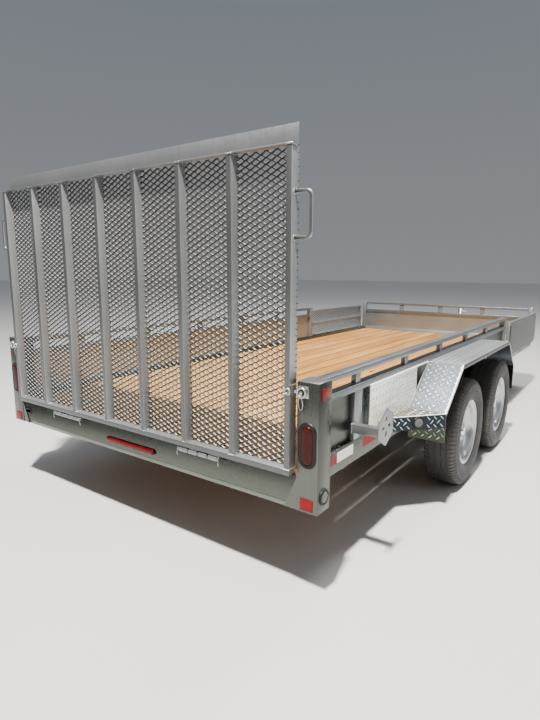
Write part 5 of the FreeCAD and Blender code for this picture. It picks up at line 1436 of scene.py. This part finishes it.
def tyre_bmesh(centre):
    """Tread, shoulders and sidewalls round a hub that looks along X."""
    rings = []
    for pitch in range(TYRE_PITCHES):
        for share, block, way in TREAD_STEPS:
            angle = 2 * math.pi * (pitch + share) / TYRE_PITCHES
            out = Vector((0, math.sin(angle), -math.cos(angle)))
            rings.append([centre + (Vector((across, 0, 0)) + out * radius) / 1000
                          for across, radius in tyre_outline(block, way * GROOVE_WAVE)])
    bm = bmesh.new()
    reach = bm.verts.layers.float.new("reach")
    for ring in add_rings(bm, rings, around=True):
        for vert in ring:
            vert[reach] = (vert.co - centre).yz.length
    return bm


def wheel_trim(seat):
    """Hub cap and five nuts with their studs."""
    bm = bmesh.new()
    add_lathe(bm, HUB_CAP_OUTLINE, seat, (1, 0, 0), 40)
    for index in range(LUGS):
        angle = 2 * math.pi * index / LUGS - math.pi / 2
        spot = seat + Vector((0, math.cos(angle), math.sin(angle))) * LUG_CIRCLE_RADIUS
        add_lathe(bm, NUT_OUTLINE, spot, (1, 0, 0), 6)
        add_lathe(bm, STUD_OUTLINE, spot, (1, 0, 0), 10)
    return bm


class TRAILER_OT_wheels(bpy.types.Operator):
    """Mould the tyres, paint the wheels and add nuts, caps and valves"""
    bl_idname = "trailer.wheels"
    bl_label = "Wheels"

    def execute(self, context):
        for row in ("rear", "front"):
            low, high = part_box(f"tyre_{row}_right")
            centre = (low + high) / 2
            body = f"wheel_{row}_"
            tyre = built(f"tyre_moulded_{row}_right", tyre_bmesh(centre), "tyre_rubber", 30.0)
            bright = wheel_trim(centre + Vector((CAP_SEAT_X, 0, 0)))
            trim = built(f"wheel_trim_{row}_right", bright, "bright_cap", 35.0)
            stem = bmesh.new()
            add_lathe(stem, VALVE_OUTLINE, centre + VALVE_PLACE, VALVE_WAY, 12)
            valve = built(f"valve_{row}_right", stem, "black_rubber", 35.0)
            fit_pair(tyre, body, f"tyre_{row}_")
            fit_pair(trim, body)
            fit_pair(valve, body)
            for side in ("right", "left"):
                smoothed(f"rim_{row}_{side}", "wheel_silver", body + side, 28.0)
        return {"FINISHED"}


class TRAILER_OT_lamps(bpy.types.Operator):
    """Set the lamps, their rubber grommets, the identification bar and the reflectors"""
    bl_idname = "trailer.lamps"
    bl_label = "Lamps and reflectors"

    def execute(self, context):
        centre = Vector((POST_MIDDLE_X, REAR_Y, (LAMPS_LOW.z + LAMPS_HIGH.z) / 2))
        tall = LAMPS_HIGH.z - LAMPS_LOW.z
        lenses, lips, markers, plates = (bmesh.new() for _ in range(4))
        add_rings(lenses, slot_rings(centre, STOP_LAMP_WIDTH, tall, LENS_STEPS))
        add_rings(lips, slot_rings(centre, STOP_LAMP_WIDTH, tall, GROMMET_STEPS), around=True)
        for place, way in ((SIDE_LAMP, (1, 0, 0)), (STEP_LAMP, STEP_OUT)):
            add_lathe(lips, ROUND_GROMMET_OUTLINE, place, way, 40)
            add_lathe(markers, ROUND_LENS_OUTLINE, place, way, 40)
        for low, high in (LOW_REFLECTOR, HIGH_REFLECTOR):
            add_box(plates, low, high, 0.001)
        for bm in (lenses, lips, markers, plates):
            mirror_bmesh(bm)
        bar = bmesh.new()
        middle, extent = Vector((0, BULKHEAD_FACE_Y, (ID_LOW.z + ID_HIGH.z) / 2)), ID_HIGH - ID_LOW
        add_rings(bar, slot_rings(middle, extent.z, extent.x, ID_BAR_STEPS, upright=False, count=8))
        piece("stop_lenses", lenses, "stop_lens", "frame", ("stop_lamps",), 50.0)
        piece("grommet_lips", lips, "black_rubber", "frame", ("lamp_grommets",), 50.0)
        piece("marker_lenses", markers, "marker_lens", "frame", ("marker_lamps",), 50.0)
        piece("id_bar_lens", bar, "identification_lens", "frame", ("id_bar",), 50.0)
        piece("reflector_plates", plates, "reflector_lens", "frame", ("reflectors",))
        return {"FINISHED"}


def hinge_pieces():
    """The knuckles and leaves of the rear gate's hinges, with the pins that join them."""
    y, z = HINGE_Y, HINGE_Z
    reach, flat = KNUCKLE_LENGTH / 2 - KNUCKLE_END, KNUCKLE_LENGTH / 2 - 2 * KNUCKLE_END
    end_radius = KNUCKLE_RADIUS - KNUCKLE_END
    outline = ((-reach, 0.0), (-reach, end_radius), (-flat, KNUCKLE_RADIUS), (flat, KNUCKLE_RADIUS),
               (reach, end_radius), (reach, 0.0))
    last = BRACKETS_HIGH.x - BRACKET_PAST_KNUCKLE - KNUCKLE_LENGTH / 2
    swinging, fixed = bmesh.new(), bmesh.new()
    for index in range(KNUCKLES):
        x = last - (KNUCKLES - 1 - index) * KNUCKLE_PITCH
        low_x, high_x = x - reach, x + reach
        if index % 2:
            add_lathe(swinging, outline, (x, y, z), (1, 0, 0), 24)
            add_box(swinging, (low_x, y - LEAF_BEHIND, z + LEAF_ABOVE),
                    (high_x, y + LEAF_AHEAD, LEAVES_HIGH.z), LEAF_ROUND)
        else:
            add_lathe(fixed, outline, (x, y, z), (1, 0, 0), 24)
            add_box(fixed, (low_x, y + BRACKET_AHEAD, z - BRACKET_HALF),
                    (high_x, BRACKETS_HIGH.y, z + BRACKET_HALF), LEAF_ROUND)
    add_lathe(fixed, rod_outline(-PIN_LENGTH, 0.0, PIN_RADIUS), (BRACKETS_HIGH.x, y, z), (1, 0, 0), 16)
    return swinging, fixed


def pin_wires():
    """A ring and a hanging tail of wire at both ends of each hinge pin."""
    bm = bmesh.new()
    for x, way in ((BRACKETS_HIGH.x - WIRE_FROM_END, 1), (BRACKETS_HIGH.x - PIN_LENGTH + WIRE_FROM_END, -1)):
        add_sweep(bm, ring_points((x, HINGE_Y, HINGE_Z), (1, 0, 0), WIRE_RING_RADIUS, 20), sizes().wire, 6)
        tail = [Vector((x + way * 0.001, HINGE_Y - 0.0060 - 0.004 * math.sin(math.pi * share),
                        HINGE_Z - 0.004 - 0.026 * share)) for share in (step / 10 for step in range(11))]
        add_sweep(bm, tail, sizes().wire, 6, closed=False)
    return bm


def spring_latch(x, z):
    """Plate with four rivets, spring barrel, pull ring, knob and a loop of wire below."""
    face = REAR_Y - LATCH_PLATE
    bm = bmesh.new()
    add_box(bm, (x - LATCH_HALF, face, z - LATCH_HALF), (x + LATCH_HALF, REAR_Y, z + LATCH_HALF), 0.0015)
    for side in (-LATCH_RIVET, LATCH_RIVET):
        for rise in (-LATCH_RIVET, LATCH_RIVET):
            add_lathe(bm, RIVET_OUTLINE, (x + side, face, z + rise), (0, -1, 0), 12)
    barrel = (LATCHES_HIGH.x - LATCH_BARREL_IN, REAR_Y - LATCH_BARREL_OUT, z)
    add_lathe(bm, BARREL_OUTLINE, barrel, (1, 0, 0), 20)
    ring = ring_points((x + LAP, REAR_Y - LATCH_RING_OUT, z), (0, -1, 0), LATCH_RING_RADIUS, 36)
    add_sweep(bm, ring, LATCH_RING_BAR, 10)
    add_lathe(bm, KNOB_OUTLINE, (x + LAP, REAR_Y - LATCH_KNOB_OUT, z), (0, -1, 0), 6)
    middle = Vector((x, REAR_Y, z)) + LATCH_LOOP_MIDDLE
    loop = [middle + LATCH_LOOP_WIDE * math.sin(angle) + LATCH_LOOP_TALL * math.cos(angle)
            for angle in turns(24)]
    add_sweep(bm, loop, sizes().wire, 6)
    return bm


class TRAILER_OT_latches(bpy.types.Operator):
    """Set the spring latches, the rings that they enter, the gate's hinges and the wires of their pins"""
    bl_idname = "trailer.latches"
    bl_label = "Latches and hinges"

    def execute(self, context):
        x, z = LATCHES_HIGH.x - LATCH_HALF, LATCH_Z
        wells, rings = bmesh.new(), bmesh.new()
        add_lathe(wells, WELL_OUTLINE, (x + LAP, REAR_Y - WELL_OUT, z), (0, -1, 0), 28)
        eye = (GATE_HIGH.x - STRIKER_RING_IN, GATE_LOW.y - STRIKER_RING_OUT, z)
        add_sweep(rings, ring_points(eye, (0, -1, 0), STRIKER_RING_RADIUS, 28), STRIKER_RING_BAR, 8)
        knuckles, brackets = hinge_pieces()
        for name, bm, look, body, slot_name, nodes in (
                ("spring_latches", spring_latch(x, z), "zinc_plate", "frame", "zinc", ("gate_latches",)),
                ("latch_wells", wells, "black_rubber", "frame", "grommet", ()),
                ("striker_rings", rings, "zinc_plate", "ramp_gate", "zinc", ()),
                ("gate_knuckles", knuckles, "mill_upright", "ramp_gate", "aluminium", ("gate_hinges",)),
                ("frame_knuckles", brackets, "mill_upright", "frame", "aluminium", ("gate_hinge_brackets",)),
                ("hinge_pin_wires", pin_wires(), "zinc_plate", "frame", "zinc", ())):
            mirror_bmesh(bm)
            piece(name, bm, look, body, nodes)
        return {"FINISHED"}


def weld_places(start, end, out):
    """Overlapping ripples along a seam; out is the way the weld faces."""
    start, end = Vector(start), Vector(end)
    radius = sizes().weld_bead
    count = max(1, int((end - start).length / (radius * RIPPLE_STEP)))
    grow = (radius, radius, radius * RIPPLE_HEIGHT)
    return [(start.lerp(end, index / count), turn_to(out, RIPPLE_ROLL * (index % 2)), grow)
            for index in range(count + 1)]


def gate_welds():
    """Seams of the rear gate's ribs and round the ends of its handles."""
    places = []
    y = GATE_LOW.y
    for index in range(GATE_RIBS):
        left = GATE_LOW.x + index * RIB_PITCH
        right = left + RIB_WIDTH
        for z, lean in ((GRILLE_LOW.z, 1), (GRILLE_HIGH.z, -1)):
            places += weld_places((left, y, z), (right, y, z), (0, -1, RIB_WELD_LEAN * lean))
            for x, way in ((left, -1), (right, 1)):
                start, end = ((x, y + ahead, z) for ahead in RIB_SEAM)
                places += weld_places(start, end, (way, 0, lean))
    y = (HANDLE_LOW.y + HANDLE_HIGH.y) / 2
    for z in (HANDLE_LOW.z + HANDLE_RADIUS, HANDLE_HIGH.z - HANDLE_RADIUS):
        for side in (-1, 1):
            for point in ring_points((side * GATE_HIGH.x, y, z), (1, 0, 0), HANDLE_WELD_RADIUS, 14):
                places.append((point, turn_to((side, 0, 0)), HANDLE_BEAD))
    return places


def frame_welds():
    """Seams of the uprights, corner posts, side rails and stiffeners, on both sides."""
    places = []
    x_in, x_out = SHEET_MIDDLE_X - UPRIGHT_THICKNESS / 2, SHEET_MIDDLE_X + UPRIGHT_THICKNESS / 2
    for index in range(UPRIGHTS):
        middle = rear(UPRIGHT_FIRST_Y + index * UPRIGHT_PITCH)
        start, end = middle - UPRIGHT_WIDTH / 2, middle + UPRIGHT_WIDTH / 2
        for z, lean in ((MID_RAILS_HIGH.z, 1), (TOP_RAILS_LOW.z, -1)):
            for y, way in ((start, -1), (end, 1)):
                places += weld_places((x_in, y, z), (x_out, y, z), (0, way, lean))
            places += weld_places((x_out, start, z), (x_out, end, z), (1, 0, lean))
    places += weld_places((POST_INNER_X, BULKHEAD_FACE_Y, BULKHEAD_LOW.z + LAP * 2),
                          (POST_INNER_X, BULKHEAD_FACE_Y, BULKHEAD_HIGH.z), (-1, -1, 0))
    y = rear(POST_SIZE)
    for z in (RAIL_LOW.z, RAIL_HIGH.z):
        places += weld_places((WALL_X, y, z), (WALL_X - RAIL_SEAM, y, z), (0, 1, 0.5))
    places += weld_places((WALL_X, y, RAIL_LOW.z), (WALL_X, y, RAIL_HIGH.z), (1, 1, 0))
    for y in (STIFFENERS_LOW.y, STIFFENERS_HIGH.y):
        for z, lean in ((RAIL_HIGH.z, 1), (MID_RAIL_LOW_Z, -1)):
            start, end = ((WALL_X - inward, y, z) for inward in STIFFENER_SEAM)
            places += weld_places(start, end, (0, 1, lean))
    for point, turn, grow in list(places):
        normal = turn.to_matrix().col[2]
        places.append(((-point.x, point.y, point.z), turn_to((-normal.x, normal.y, normal.z)), grow))
    return places


def carrier_welds():
    """Seams at both ends of the spare carrier's arm."""
    places = []
    y, z = (CARRIER_LOW.y + CARRIER_HIGH.y) / 2, (CARRIER_LOW.z + CARRIER_HIGH.z) / 2
    half = CARRIER_ARM_HALF
    for side in (-1, 1):
        start, end = ((WALL_X, y + side * half, z - drop) for drop in CARRIER_SEAM_DROPS)
        places += weld_places(start, end, (1, side, 0))
        edge_z = z - CARRIER_ARM_DROP + side * half
        for x, way in ((WALL_X, 1), (CARRIER_HIGH.x - CARRIER_PLATE, -1)):
            places += weld_places((x, y - half, edge_z), (x, y + half, edge_z), (way, 0, side))
    return places


class TRAILER_OT_welds(bpy.types.Operator):
    """Run the weld beads of the gates, uprights, posts and carrier"""
    bl_idname = "trailer.welds"
    bl_label = "Welds"

    def execute(self, context):
        for name, places, body in (("gate_welds", gate_welds(), "ramp_gate"),
                                   ("frame_welds", frame_welds(), "frame"),
                                   ("carrier_welds", carrier_welds(), "frame")):
            bead = bmesh.new()
            add_lathe(bead, BEAD_OUTLINE, (0, 0, 0), (0, 0, 1), 7)
            fit(repeated(name, bead, places, "weld_bead"), body)
        return {"FINISHED"}


class TRAILER_OT_tape(bpy.types.Operator):
    """Stick the red and white reflecting tape on the side rails"""
    bl_idname = "trailer.tape"
    bl_label = "Reflecting tape"

    def execute(self, context):
        high = RAIL_HIGH.z - TAPE_BELOW_TOP
        low = high - sizes().tape_height
        for look, slot_name in (("red_tape", "reflector_red"), ("white_tape", None)):
            bm = bmesh.new()
            for kind, start, end in TAPES:
                if kind == look:
                    add_box(bm, (WALL_X - TAPE_BACK, rear(start), low),
                            (WALL_X + TAPE_PROUD, rear(end), high))
            mirror_bmesh(bm)
            piece("side_" + look, bm, look, "frame")
        return {"FINISHED"}


def set_sky(scene):
    """World that is grey at the horizon, a little darker above it and bright overhead."""
    scene.world = bpy.data.worlds.new("studio")
    scene.world.use_nodes = True
    tree = scene.world.node_tree
    tree.nodes.clear()
    kinds = ("ShaderNodeTexCoord", "ShaderNodeSeparateXYZ", "ShaderNodeValToRGB", "ShaderNodeBackground",
             "ShaderNodeOutputWorld")
    where, split, ramp, back, out = (tree.nodes.new(kind) for kind in kinds)
    for source, target in ((where.outputs["Generated"], split.inputs[0]),
                           (split.outputs["Z"], ramp.inputs["Fac"]),
                           (ramp.outputs["Color"], back.inputs["Color"]),
                           (back.outputs["Background"], out.inputs["Surface"])):
        tree.links.new(source, target)
    stops = ramp.color_ramp.elements
    for stop, (height, tint) in zip(stops, (SKY[0], SKY[-1])):
        stop.position, stop.color = height, tint
    for height, tint in SKY[1:-1]:
        stops.new(height).color = tint
    back.inputs["Strength"].default_value = SKY_STRENGTH


def set_lamp(light):
    """Area lamp that looks at its aim."""
    lamp = bpy.data.lights.new(light.name, "AREA")
    lamp.energy, lamp.size, lamp.color = light.power, light.size, light.tint
    obj = linked(light.name, lamp)
    obj.location = light.place
    obj.rotation_euler = (Vector(light.place) - Vector(light.aim)).to_track_quat("Z", "Y").to_euler()


def set_camera(scene):
    """Camera where the photograph was taken."""
    camera = bpy.data.cameras.new("camera")
    camera.sensor_width = CAMERA_SENSOR
    camera.lens = CAMERA_LENS
    camera.clip_start, camera.clip_end = 0.05, 300.0
    yaw, pitch, roll = (math.radians(angle) for angle in (CAMERA_YAW, CAMERA_PITCH, CAMERA_ROLL))
    ahead = Vector((-math.sin(yaw) * math.cos(pitch), math.cos(yaw) * math.cos(pitch), -math.sin(pitch)))
    right = Vector((math.cos(yaw), math.sin(yaw), 0.0))
    up = right.cross(ahead)
    rolled_right = right * math.cos(roll) + up * math.sin(roll)
    rolled_up = up * math.cos(roll) - right * math.sin(roll)
    turn = Matrix((rolled_right, rolled_up, -ahead)).transposed()
    scene.camera = linked("camera", camera)
    scene.camera.matrix_world = Matrix.Translation(CAMERA_PLACE) @ turn.to_4x4()


class TRAILER_OT_stage(bpy.types.Operator):
    """Set the floor, the soft lights and the camera"""
    bl_idname = "trailer.stage"
    bl_label = "Studio"

    def execute(self, context):
        bm = bmesh.new()
        reach = FLOOR_REACH
        corners = ((-reach, -reach, 0), (reach, -reach, 0), (reach, reach, 0), (-reach, reach, 0))
        bm.faces.new([bm.verts.new(corner) for corner in corners])
        built("floor", bm, "studio_floor")
        set_sky(context.scene)
        for light in LIGHTS:
            set_lamp(light)
        set_camera(context.scene)
        return {"FINISHED"}


PIECES = (TRAILER_OT_frame, TRAILER_OT_bulkhead, TRAILER_OT_gates, TRAILER_OT_grilles, TRAILER_OT_deck,
          TRAILER_OT_tread, TRAILER_OT_wheels, TRAILER_OT_lamps, TRAILER_OT_latches, TRAILER_OT_welds,
          TRAILER_OT_tape, TRAILER_OT_stage)


class TRAILER_PT_panel(bpy.types.Panel):
    """Trailer pieces and their sizes"""
    bl_label = "Trailer"
    bl_idname = "TRAILER_PT_panel"
    bl_space_type = "VIEW_3D"
    bl_region_type = "UI"
    bl_category = "Trailer"

    def draw(self, context):
        for operator in PIECES:
            self.layout.operator(operator.bl_idname)
        for group in (context.scene.trailer_sizes, context.scene.trailer_colours):
            column = self.layout.column()
            for key in group.bl_rna.properties.keys():
                if key not in ("rna_type", "name"):
                    column.prop(group, key)


CLASSES = (TrailerSizes, TrailerColours) + PIECES + (TRAILER_PT_panel,)


def register():
    for item in CLASSES:
        bpy.utils.register_class(item)
    bpy.types.Scene.trailer_sizes = bpy.props.PointerProperty(type=TrailerSizes)
    bpy.types.Scene.trailer_colours = bpy.props.PointerProperty(type=TrailerColours)


def unregister():
    del bpy.types.Scene.trailer_sizes
    del bpy.types.Scene.trailer_colours
    for item in reversed(CLASSES):
        bpy.utils.unregister_class(item)


def main():
    register()
    bpy.ops.trailer.frame()
    bpy.ops.trailer.bulkhead()
    bpy.ops.trailer.gates()
    bpy.ops.trailer.grilles()
    bpy.ops.trailer.deck()
    bpy.ops.trailer.tread()
    bpy.ops.trailer.wheels()
    bpy.ops.trailer.lamps()
    bpy.ops.trailer.latches()
    bpy.ops.trailer.welds()
    bpy.ops.trailer.tape()
    bpy.ops.trailer.stage()


if __name__ == "__main__":
    main()
